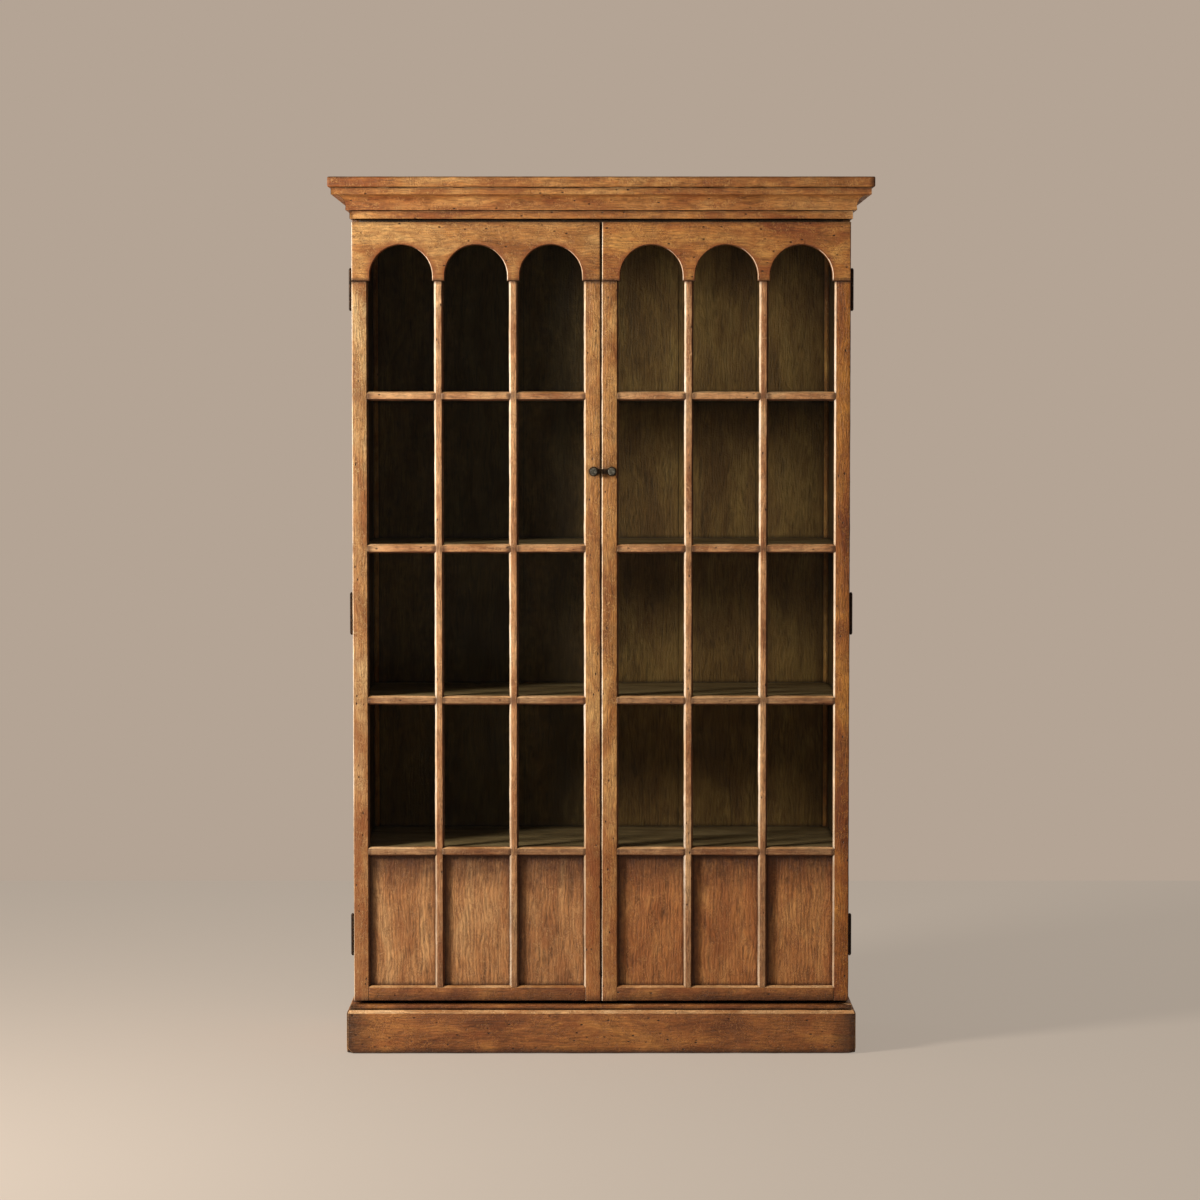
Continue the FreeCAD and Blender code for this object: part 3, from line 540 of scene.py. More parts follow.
@dataclass(frozen=True)
class AgedWood(Finish):
    """Old softwood, planed and stained by hand, then waxed, with insect holes and rubbed places.

    The year rings show as fine wavering lines 8 mm apart, curling round knots, with soft streaks between
    them and cloudy mottling over them. Thin curling strokes, 5 to 15 mm long, are the marks of a round-nosed
    plane and a stiff brush, each with a pale painted glint along one side. Dark flecks of 2 to 4 mm are
    flight holes of wood beetles. Red stains and dark wax lie where pieces meet, and the hollows hold dirt and
    painted shade. Real year rings of pine are 2 to 4 mm apart, too fine to show, so they are drawn coarser.

    Args:
        pale: The tone of rubbed patches and of the painted glints beside the strokes.
        mid: The main tone.
        deep: The tone where the wax lies thick.
        stain: The tone of old stains and holes.
        red: The tone of the reddish stains.
        grime_and_shade: How much dirt and painted shade the hollows hold, 0 to 1.
        streak: How strongly the grain shows, 0 to 1.
        strokes: How strongly the tool strokes show, 0 to 1.
        fibre: How long the streaks of the grain are, in millimetres; they are a ninth as wide.
        cloud: How strongly the cloudy mottling shows, 0 to 1.
        blush: How strong the reddish stains are, 0 to 1.
        rings: How strongly the year rings show, 0 to 1.
        ring_gap: How far apart they are, in millimetres.
        wander: How far they leave the straight, in radians of their own spacing.
        holes: How many cells of the hole pattern hold a hole, 0 to 1.
        gloss: The roughness of the waxed surface.
        relief: The height of the surface's own roughness, in metres.
    """

    pale: str
    mid: str
    deep: str
    stain: str
    red: str = "#8a4a22"
    grime_and_shade: float = 0.8
    streak: float = 0.4
    strokes: float = 0.8
    fibre: float = 45
    cloud: float = 0.7
    blush: float = 0.4
    rings: float = 0.6
    ring_gap: float = 8
    wander: float = 40
    holes: float = 0.5
    gloss: float = 0.5
    relief: float = 2.2 * MM

    def band(
        self, add: Callable, edge: Socket, away: Socket, band: SoilAndShade | Ring, under: Socket | float
    ) -> Socket:
        """Lays a band over others.

        Args:
            add: Adds a node.
            edge: How far the band reaches at full strength, uneven, in parts of its reach.
            away: How far each point is from its middle.
            band: Its reach and strength.
            under: What lies there already.

        Returns:
            The greater of the two, 0 to 1.
        """
        fading = add("Math", away, -1 / band.reach, edge, operation="MULTIPLY_ADD", use_clamp=True)
        dose = add("Math", fading, band.strength, operation="MULTIPLY")
        return add("Math", dose, under, operation="MAXIMUM")

    def soil_and_shade(self, add: Callable, place: Socket, soils_and_shades: Sequence[SoilAndShade]) -> Socket | float:
        """How dark each point is from its bands of dirt, wax and painted shade.

        Args:
            add: Adds a node.
            place: Each point's place.
            soils_and_shades: The bands.

        Returns:
            A value from 0 to 1.
        """
        total: Socket | float = 0.0
        if soils_and_shades:
            ragged = add("TexNoise", place, Scale=per_metre(RAGGED), Detail=4.0, Roughness=0.7)
            edge = add("Math", ragged, 0.62, operation="ADD")
            parts = add("SeparateXYZ", place, out=None)
        for band in soils_and_shades:
            away = add("Math", parts[band.axis.value], band.place, operation="SUBTRACT")
            total = self.band(add, edge, add("Math", away, operation="ABSOLUTE"), band, total)
        return total

    def halo(self, add: Callable, place: Socket, arches: Sequence[Ring]) -> Socket | float:
        """How much red-brown wax each point has round the arches.

        Args:
            add: Adds a node.
            place: Each point's place.
            arches: The rings of wax.

        Returns:
            A value from 0 to 1.
        """
        total: Socket | float = 0.0
        if arches:
            ragged = add("TexNoise", place, Scale=per_metre(ARCH_RAGGED), Detail=4.0, Roughness=0.7)
            edge = add("Math", ragged, 0.5, operation="ADD")
            both = add("VectorMath", place, operation="ABSOLUTE")
            flat = add("Mapping", both, Scale=(1, 0, 1))
        for arch in arches:
            away = add("VectorMath", flat, (arch.across, 0, arch.up), operation="DISTANCE", out="Value")
            away = add("Math", away, arch.radius, operation="SUBTRACT")
            total = self.band(add, edge, away, arch, total)
        return total

    def year_rings(self, add: Callable, place: Socket, grain: Grain) -> Socket:
        """Wavering lines along the grain that curl round knots.

        Args:
            add: Adds a node.
            place: Each point's place.
            grain: The run of the grain.

        Returns:
            A value that goes from 0 to 1 and back.
        """
        spot = add("Mapping", place, Scale=along(grain, 0.3, 1.0))
        bends = add("TexNoise", spot, Scale=per_metre(BENDS), Detail=3.0, Roughness=0.58)
        parts = add("SeparateXYZ", place, out=None)
        across = add("Math", *[parts[axis.value] for axis in Grain if axis is not grain], operation="ADD")
        bend = add("Math", bends, self.wander, operation="MULTIPLY")
        phase = add("Math", across, per_metre(self.ring_gap) * math.tau, bend, operation="MULTIPLY_ADD")
        return add("Math", add("Math", phase, operation="SINE"), 0.5, 0.5, operation="MULTIPLY_ADD")

    def holes_in(self, add: Callable, place: Socket, grain: Grain) -> Socket:
        """The flight holes, a little longer along the grain.

        Args:
            add: Adds a node.
            place: Each point's place.
            grain: The run of the grain.

        Returns:
            1 in a hole, and otherwise 0.
        """
        spot = add("Mapping", place, Scale=along(grain, 0.5, 1.0))
        cells = add("TexVoronoi", spot, Scale=per_metre(HOLE_CELLS), out=None)
        near = add("ValToRGB", cells["Distance"], stops=((0.06, grey(1)), (0.14, grey(0))))
        chosen = add("Math", cells["Color"], self.holes, operation="LESS_THAN")
        return add("Math", near, chosen, operation="MULTIPLY")

    def surface(self, add: Callable, grain: Grain, soils_and_shades: Sequence[SoilAndShade], arches: Sequence[Ring]) -> Socket:
        """Paints the wood, from its main tones to the dirt, wax and painted shade on top.

        Args:
            add: Adds a node.
            grain: The run of the grain.
            soils_and_shades: Its bands of dirt, wax and painted shade.
            arches: Its rings of wax.

        Returns:
            The shader.
        """
        pale, mid, deep = colour(self.pale), colour(self.mid), colour(self.deep)
        stain, red = colour(self.stain), colour(self.red)
        place = add("TexCoord", out="Object")
        drawn = add("Mapping", place, Scale=along(grain, 1.0, 3.0))
        fibre = add("Mapping", place, Scale=along(grain, 1.0, 9.0))
        drift = add("TexNoise", drawn, Scale=per_metre(DRIFT), Detail=5.0, Roughness=0.6, Distortion=0.6)
        mottle = add("TexNoise", place, Scale=per_metre(MOTTLE), Detail=6.0, Roughness=0.68, Distortion=1.0)
        streaks = add(
            "TexNoise", fibre, Scale=per_metre(self.fibre), Detail=5.0, Roughness=0.7, Distortion=1.6
        )
        figure = self.year_rings(add, place, grain)
        patches = add("TexNoise", place, Scale=per_metre(PATCHES), Detail=3.0, Roughness=0.6)
        curls = add("TexNoise", place, Scale=per_metre(CURLS), Detail=2.0, Roughness=0.5, Distortion=2.6)
        broken = add("TexNoise", place, Scale=per_metre(GAPS), Detail=2.0)
        spots = add("TexNoise", drawn, Scale=per_metre(STAINS), Detail=4.0, Roughness=0.65)
        # Dirt and painted shade in hollows and inner corners, from ambient occlusion.
        hollow_dirt_and_shade = add("AmbientOcclusion", Distance=DIRT_AND_SHADE_DEPTH, samples=6, out="AO")

        there = add("ValToRGB", broken, stops=((0.46, grey(0)), (0.56, grey(self.strokes))))
        line = add("ValToRGB", curls, stops=((0.44, grey(0)), (0.48, grey(1)), (0.52, grey(0))))
        stroke = add("Math", line, there, operation="MULTIPLY")
        # A pale band along one side of each stroke: a painted glint.
        stroke_glint = add("ValToRGB", curls, stops=((0.52, grey(0)), (0.56, grey(1)), (0.61, grey(0))))
        hole = self.holes_in(add, place, grain)
        cloudy = ((0.36, grey(0.68)), (0.52, grey(1)), (0.66, grey(1.2)))
        fibrous = ((0.36, grey(1 - self.streak)), (0.5, grey(1)), (0.64, grey(1.12)))
        late = ((0.1, grey(0.62)), (0.32, grey(1)), (0.72, grey(1)), (0.92, grey(1.3)))
        clear = add("ValToRGB", patches, stops=((0.38, grey(0.25 * self.rings)), (0.6, grey(self.rings))))
        layers = (
            ("MULTIPLY", self.cloud, add("ValToRGB", mottle, stops=cloudy)),
            ("MULTIPLY", 1.0, add("ValToRGB", streaks, stops=fibrous)),
            ("MULTIPLY", clear, add("ValToRGB", figure, stops=late)),
            ("MIX", stroke, deep),
            # Painted glints beside the strokes.
            ("MIX", add("Math", stroke_glint, there, operation="MULTIPLY"), pale),
            ("MIX", add("ValToRGB", spots, stops=((0.52, grey(0)), (0.66, grey(self.blush)))), red),
            ("MIX", self.halo(add, place, arches), red),
            ("MIX", self.soil_and_shade(add, place, [band for band in soils_and_shades if band.red]), red),
            ("MIX", hole, stain),
            # Dark bands of dirt and wax, and of painted shade from bars and shelves and over the back's left
            # half.
            ("MIX", self.soil_and_shade(add, place, [band for band in soils_and_shades if not band.red]), stain),
            # Dirt and painted shade in the hollows.
            ("MIX", add("ValToRGB", hollow_dirt_and_shade, stops=((0.48, grey(self.grime_and_shade)), (0.96, grey(0)))), stain),
        )
        tone = add("ValToRGB", drift, stops=((0.37, deep), (0.5, mid), (0.64, pale)))
        for kind, share, over in layers:
            tone = add("MixRGB", share, tone, over, blend_type=kind)

        height = streaks
        relief = ((mottle, 0.7), (curls, 0.7), (figure, 0.25 * self.rings), (stroke, -0.4), (hole, -1.0))
        for pattern, share in relief:
            height = add("Math", pattern, share, height, operation="MULTIPLY_ADD")
        bump = add("Bump", Strength=0.7, Distance=self.relief, Height=height)
        shine = add("ValToRGB", spots, stops=((0.35, grey(self.gloss - 0.08)), (0.7, grey(self.gloss + 0.2))))
        return add("BsdfPrincipled", Base_Color=tone, Roughness=shine, Normal=bump, Specular_IOR_Level=0.4)

    def build(
        self, grain: Grain, title: str = "", soils_and_shades: Sequence[SoilAndShade] = (), arches: Sequence[Ring] = ()
    ) -> Material:
        """Makes the material.

        Args:
            grain: The run of the grain.
            title: A word that tells it from others with the same wood and grain.
            soils_and_shades: Its bands of dirt, wax and painted shade.
            arches: Its rings of wax.

        Returns:
            The material, new or as made before.
        """
        suffix = f"_{grain.name.lower()}{title and '_' + title}"
        return self.material(suffix, lambda add: self.surface(add, grain, soils_and_shades, arches))


@dataclass(frozen=True)
class OldIron(Finish):
    """Wrought iron that has oxidised to a brown black, with worn places where hands or pins rub it.

    Args:
        dark: The oxide's tone.
        bare: The tone of rubbed metal.
        roughness: How dull it is.
        metal: How much of it shines as bare metal does, 0 to 1.
    """

    dark: str
    bare: str
    roughness: float = 0.5
    metal: float = 0.7

    def surface(self, add: Callable) -> Socket:
        """Oxide in scales of 6 mm, rubbed bare and smoother on their crests.

        Args:
            add: Adds a node.

        Returns:
            The shader.
        """
        place = add("TexCoord", out="Object")
        scale = add("TexNoise", place, Scale=per_metre(SCALES), Detail=5, Roughness=0.65)
        tone = add("ValToRGB", scale, stops=((0.42, colour(self.dark)), (0.7, colour(self.bare))))
        stops = ((0.35, grey(self.roughness + 0.15)), (0.7, grey(self.roughness - 0.1)))
        dull = add("ValToRGB", scale, stops=stops)
        bump = add("Bump", Strength=0.4, Distance=0.4 * MM, Height=scale)
        return add("BsdfPrincipled", Base_Color=tone, Metallic=self.metal, Roughness=dull, Normal=bump)

    def build(self) -> Material:
        """Makes the material."""
        return self.material("", self.surface)


@dataclass(frozen=True)
class OldGlass(Finish):
    """Thin drawn window glass: clear, a little wavy, and letting lamps through.

    Args:
        tint: What the glass leaves of white light.
    """

    tint: str

    def surface(self, add: Callable) -> Socket:
        """Clear from the front, a mirror at a grazing angle, with waves 60 mm long.

        Args:
            add: Adds a node.

        Returns:
            The shader.
        """
        place = add("TexCoord", out="Object")
        waves = add("TexNoise", place, Scale=per_metre(WAVES), Detail=2, Distortion=0.6)
        bump = add("Bump", Strength=0.15, Distance=0.5 * MM, Height=waves)
        clear = add("BsdfTransparent", Color=colour(self.tint))
        mirror = add("BsdfGlossy", Roughness=0.04, Normal=bump)
        slant = add("LayerWeight", Blend=0.5, Normal=bump, out="Facing")
        edge = add("MapRange", add("Math", slant, 4.0, operation="POWER"), To_Min=0.004, To_Max=0.9)
        return add("MixShader", edge, clear, mirror)

    def build(self) -> Material:
        """Makes the material."""
        return self.material("", self.surface)


# Pine boards, stained and waxed: honey brown, paler where hands and cloths rub.
OUTER = AgedWood("waxed_pine", "#cd9a5c", "#b3793f", "#8d5226", "#2f1a0b", streak=0.45)
# Paler yellow pine, painted as more lit by the lamp at the left: the left-hand door's head and both meeting
# stiles.
PALE_LIT_PINE = AgedWood("bleached_pine", "#cfa163", "#b57f44", "#8f5a2a", "#2f1a0b", streak=0.45)
# The left-hand hinge stile, nearest the lamp, painted palest, nearly cream: painted light.
MOST_LIT_STILE = AgedWood("sun_bleached_pine", "#d6b57f", "#bc8f58", "#956637", "#2f1a0b", streak=0.45)
# The right-hand door's head: darker amber pine, painted shade away from the lamp.
SHADED_RIGHT_DOOR = AgedWood("shaded_amber_pine", "#cb9550", "#b17539", "#8a4d22", "#2a150a", streak=0.45)
# The right-hand hinge stile, farthest from the lamp, painted darkest and reddest: painted shade.
MOST_SHADED_STILE = AgedWood("most_shaded_red_pine", "#bd8138", "#9f6126", "#7a4117", "#2a150a", streak=0.45)
# Glazing bars: handled when the glass is cleaned, so paler and pinker.
BARS = AgedWood("handled_pine", "#ddb07e", "#c69263", "#99653c", "#3a1f10", streak=0.45)
# Wide side boards: long quiet grain.
SIDE = AgedWood(
    "waxed_pine_side", "#c2915a", "#ae7842", "#935c30", "#2f1a0b", fibre=130, cloud=0.3, blush=0.25,
    strokes=0.5,
)
# The foot is darker, from shoes and floor wax.
PLINTH = AgedWood("waxed_pine_foot", "#b0773d", "#945c2e", "#6f401e", "#26160b")
# Panels brushed along the grain, so that the year rings stand up.
PANEL = AgedWood(
    "brushed_pine", "#bd9060", "#a97648", "#926038", "#381a08", red="#955a32", streak=0.5, fibre=80,
    cloud=0.35, blush=0.3, rings=0.8, ring_gap=9.5, wander=30, holes=0.25,
)
# The right-hand door's panels, painted redder and darker as shade away from the lamp.
SHADED_RED_PANEL = replace(PANEL, name="shaded_red_brushed_pine", pale="#bb854e", mid="#a66c3b", deep="#8e562c")
# Painted highlight: near-white bevels on the faces turned left, to the lamp.
HIGHLIGHT_BEVEL = AgedWood(
    "highlight_bevel_pine", "#fff0de", "#f7dfc2", "#e2c09a", "#5a361c", red="#d9ae82", grime_and_shade=0, streak=0.2,
    rings=0.1, holes=0.1,
)
# Arrises rubbed pale by cloths, on the faces turned up or left to the lamp: wear and painted highlight.
WORN = AgedWood("worn_pine", "#ecc493", "#d8a873", "#b57f4c", "#4a2b16", grime_and_shade=0.3, streak=0.3, holes=0.2)
# Painted shade: dark bevels on the faces turned right or down, away from the lamp.
SHADE_BEVEL = AgedWood("thick_waxed_pine", "#74482a", "#5a361e", "#402415", "#1e1008", holes=0.2)
# Back boards, dark brown with a green cast; painted shade lies over their left half and under the shelves.
BACK = AgedWood(
    "dark_back_pine", "#9a7949", "#89673d", "#725231", "#1a130b", red="#6a4828", streak=0.45, strokes=0.2,
    fibre=90, cloud=0.3, rings=0.5, holes=0.05,
)
# Shelf tops, dull and greyish under old dust.
SHELF = AgedWood(
    "dusty_pine", "#b49a7a", "#9f8666", "#846d52", "#1c140c", red="#6f5638", strokes=0.2, cloud=0.3,
    blush=0.25, holes=0.1,
)
# Unpolished wood inside, darkened by age.
INNER = AgedWood(
    "dark_pine", "#5d4529", "#4b3520", "#352616", "#160f08", red="#452a18", strokes=0.2, holes=0.1
)
# Wrought hinge leaves, oxidised nearly black.
HINGE = OldIron("oxidised_hinge_iron", "#1f1712", "#4a3524", roughness=0.55)
# The latch plate and bolt, a little brighter from use.
LATCH = OldIron("oxidised_latch_iron", "#241c14", "#5a4732", roughness=0.45)
# Knobs dulled by hands to a grey green.
KNOB = OldIron("handled_knob_iron", "#2f2d25", "#77756a", roughness=0.5, metal=0.3)
# Drawn window glass, faintly green.
GLASS = OldGlass("drawn_glass", "#f2f4ee")


def dress(piece: Piece, materials: Sequence[Material]) -> None:
    """Gives a piece its materials.

    Args:
        piece: The object.
        materials: The materials, in the order of their slots.
    """
    piece.data.materials.clear()
    for material in materials:
        piece.data.materials.append(material)


def dress_node(name: str, material: Material) -> None:
    """Gives a node of the frame its material, leaving its mesh alone.

    Args:
        name: The node's name.
        material: The material.
    """
    node = FRAME["nodes"][name]
    if not node.material_slots:
        node.data.materials.append(material)
    for slot in node.material_slots:
        slot.material = material


def finish_wood(
    piece: Piece,
    node: str,
    body: str,
    slot: str,
    materials: Sequence[Material],
    wear: Wear,
    choose: Callable[[Face], int] | None = None,
) -> None:
    """Wears a piece of wood, gives it its finish and puts it in the place of its node.

    Args:
        piece: The shape, in place.
        node: The node of the frame that it stands for.
        body: The body that it rides on.
        slot: The name of a material slot; not used.
        materials: The finish, and after it the finishes of some chosen faces if there are any.
        wear: How worn it is.
        choose: Says which of the finishes a face has.
    """
    piece.name = f"{node}_wood"
    wear.apply(piece)
    smooth(piece)
    dress(piece, materials)
    if choose:
        for face in piece.data.polygons:
            face.material_index = choose(face)
    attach(piece, body)
    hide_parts(node)
    LOG.info("%s: %d faces", piece.name, len(piece.data.polygons))


def worn_and_lit_arris(face: Face) -> int:
    """Picks the rounded or bevelled faces that look up or to the left, where cloths rub and the lamp falls.

    Args:
        face: A face of the piece.

    Returns:
        1 for such a face, and otherwise 0.
    """
    leans_up = 0.3 < face.normal.z < 0.95 and abs(face.normal.x) < 0.5
    leans_left = -0.95 < face.normal.x < -0.3 and abs(face.normal.z) < 0.5
    return int(leans_up or leans_left)


def looking(axis: Grain, turn: int = 1, least: float = 0.7) -> Callable[[Face], int]:
    """A test that gives 1 for the faces that look one way, and otherwise 0.

    Args:
        axis: The axis that they look along.
        turn: 1 for the way that it counts up, and -1 for the other.
        least: How straight they look that way, 0 to 1.

    Returns:
        The test.
    """
    return lambda face: int(face.normal[axis.value] * turn > least)


# sub-assemblies


@dataclass
class Plinth:
    """The foot: three mitred boards with a bevelled top edge, and a thin strip on top of them."""

    bevel_height: float = 9 * MM
    bevel_depth: float = 5 * MM
    corner: float = 4 * MM
    toe: float = 17 * MM
    tuck: float = 12 * MM
    floor_dirt: tuple[float, float] = (15 * MM, 0.8)
    end_dirt: tuple[float, float] = (60 * MM, 0.8)
    softness: float = 1.4 * MM
    step: float = 14 * MM
    wear: Wear = Wear(1.2 * MM, 1.0 * MM, inward=True)

    def board(self, node: str, side: Side, worn_corners: bool) -> Piece:
        """One board of the foot with its mitred ends. The strips run on under the cabinet's bottom board.

        Args:
            node: The node that gives its place.
            side: The side that it runs along.
            worn_corners: Whether its top is bevelled and its corners are knocked off.

        Returns:
            The board.
        """
        low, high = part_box(node)
        if not worn_corners:
            high.y += self.tuck if side is Side.FRONT else 0
            high.x += self.tuck if side is Side.LEFT else 0
            low.x -= self.tuck if side is Side.RIGHT else 0
        piece = block(node, low, high)
        turns = {Side.FRONT: (-1, 1), Side.LEFT: (-1,), Side.RIGHT: (1,)}[side]
        for turn in turns:
            edge = high.x if turn > 0 else low.x
            outward = (turn, 1, 0) if side is Side.FRONT else (-turn, -1, 0)
            plane_off(piece, (edge, low.y, 0), outward)
            if worn_corners:
                plane_off(piece, (edge - turn * self.corner, low.y, 0), (turn, -1, 0))
                plane_off(piece, (edge - turn * self.toe, low.y, low.z), (turn, -1, -1))
        if worn_corners:
            start = (edge, low.y, high.z - self.bevel_height)
            across = (0, -self.bevel_height) if side is Side.FRONT else (turn * self.bevel_height, 0)
            plane_off(piece, start, (*across, self.bevel_depth))
        return piece

    def wood(self, grain: Grain) -> Material:
        """The foot's finish: darker than the case, and darkest at the floor and the corners.

        Args:
            grain: The run of the board's grain.

        Returns:
            The material.
        """
        low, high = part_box("plinth_front")
        soils_and_shades = [SoilAndShade(Grain.UPRIGHT, 0.0, *self.floor_dirt)]
        if grain is Grain.ACROSS:
            soils_and_shades += [SoilAndShade(Grain.ACROSS, end, *self.end_dirt) for end in (low.x, high.x)]
        return PLINTH.build(grain, "floor", soils_and_shades)

    def build(self) -> None:
        """Makes the three boards and the three strips."""
        for side in Side:
            for kind, worn in (("plinth", True), ("plinth_strip", False)):
                node = f"{kind}_{side.value}"
                piece = self.board(node, side, worn)
                soften(piece, self.softness)
                divide(piece, side.grain, self.step)
                # Arrises turned up or left get pale wood: wear and painted highlight.
                woods = [self.wood(side.grain), WORN.build(side.grain)]
                finish_wood(piece, node, "carcass", "case_wood", woods, self.wear, worn_and_lit_arris)
        for node in ("plinth_back", "plinth_glue_blocks"):
            dress_node(node, INNER.build(Grain.ACROSS))


@dataclass
class Cornice:
    """The top board, the coved moulding under it and the flat band, each mitred round three sides."""

    fillet_height: float = 18 * MM
    cove_top: float = 10 * MM
    cove_foot: float = 33 * MM
    cove_height: float = 31 * MM
    cove_radius: float = 26 * MM
    foot_height: float = 5 * MM
    overlap: float = 0.3 * MM
    weld: float = 0.35 * MM
    softness: float = 1.5 * MM
    round_over: float = 4 * MM
    step: float = 14 * MM
    rim_dirt: tuple[float, float] = (5 * MM, 0.7)
    end_dirt: tuple[float, float] = (16 * MM, 0.8)
    wear: Wear = Wear(0.9 * MM, 0.7 * MM, inward=True)
    top_wear: Wear = Wear(0.5 * MM, 0.6 * MM, inward=True)

    def moulding(self, node: str, side: Side) -> Piece:
        """The coved section, made as a straight run along X and then turned to its side of the cabinet.

        Args:
            node: The node that gives its size.
            side: The side that it runs along.

        Returns:
            The run, in place, with square ends.
        """
        low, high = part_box(node)
        spans = high - low
        length, depth = (spans.x, spans.y) if side is Side.FRONT else (spans.y, spans.x)
        piece = block(node, (0, 0, 0), (length, depth, spans.z))
        top = spans.z - self.fillet_height
        start = (-OVERRUN, -OVERRUN, -OVERRUN)
        cut_block(piece, start, (length + OVERRUN, self.cove_top, top))
        chord = Vector((0, self.cove_foot - self.cove_top, -self.cove_height))
        reach = math.sqrt(self.cove_radius**2 - (chord.length / 2) ** 2)
        outward = Vector((0, chord.z, -chord.y)).normalized()
        centre = Vector((length / 2, self.cove_top, top)) + chord / 2 + outward * reach
        cutter = rod(centre, self.cove_radius, length + 2 * OVERRUN, (0, math.pi / 2, 0), ROUND_SIDES)
        plane_off(cutter, (0, 0, top), (0, 0, 1))
        plane_off(cutter, (0, 0, self.foot_height), (0, 0, -1))
        cut_with(piece, cutter)
        cut_block(piece, start, (length + OVERRUN, self.cove_foot, self.foot_height + self.overlap))
        with editing(piece):
            bpy.ops.mesh.remove_doubles(threshold=self.weld)
        soften(piece, self.softness)
        turn, start = {
            Side.FRONT: (0, low),
            Side.RIGHT: (math.pi / 2, (high.x, low.y, low.z)),
            Side.LEFT: (-math.pi / 2, (low.x, high.y, low.z)),
        }[side]
        alone(piece)
        piece.rotation_euler = (0, 0, turn)
        piece.location = start
        settle()
        return piece

    def mitre(self, piece: Piece, node: str, side: Side) -> None:
        """Cuts the mitres of a run that is in place.

        Args:
            piece: The run.
            node: The node that gives its size.
            side: The side that it runs along.
        """
        low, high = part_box(node)
        if side is not Side.LEFT:
            outward = (1, 1, 0) if side is Side.FRONT else (-1, -1, 0)
            plane_off(piece, (high.x, low.y, 0), outward)
        if side is not Side.RIGHT:
            outward = (-1, 1, 0) if side is Side.FRONT else (1, -1, 0)
            plane_off(piece, (low.x, low.y, 0), outward)

    def build(self) -> None:
        """Makes the top board, three mouldings and three bands."""
        for side in Side:
            moulding = f"cornice_moulding_{side.value}"
            band = f"cornice_band_{side.value}"
            pieces = {moulding: self.moulding(moulding, side), band: block(band, *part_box(band))}
            soften(pieces[band], self.softness)
            for node, piece in pieces.items():
                self.mitre(piece, node, side)
                divide(piece, side.grain, self.step)
                # Arrises turned up or left get pale wood: wear and painted highlight.
                woods = [OUTER.build(side.grain), WORN.build(side.grain)]
                finish_wood(piece, node, "carcass", "case_wood", woods, self.wear, worn_and_lit_arris)
        piece = block("cornice_top", *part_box("cornice_top"))
        soften(piece, self.round_over, segments=4)
        divide(piece, Grain.ACROSS, self.step)
        divide(piece, Grain.DEEP, 4 * self.step)
        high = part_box("cornice_top")[1]
        edge = [SoilAndShade(Grain.UPRIGHT, high.z, *self.rim_dirt), SoilAndShade(Grain.ACROSS, high.x, *self.end_dirt)]
        woods = [OUTER.build(Grain.ACROSS, "top", edge), SIDE.build(Grain.ACROSS)]
        flat_top = looking(Grain.UPRIGHT, least=0.95)
        finish_wood(piece, "cornice_top", "carcass", "case_wood", woods, self.top_wear, flat_top)
        dress_node("cornice_back_rail", OUTER.build(Grain.ACROSS))


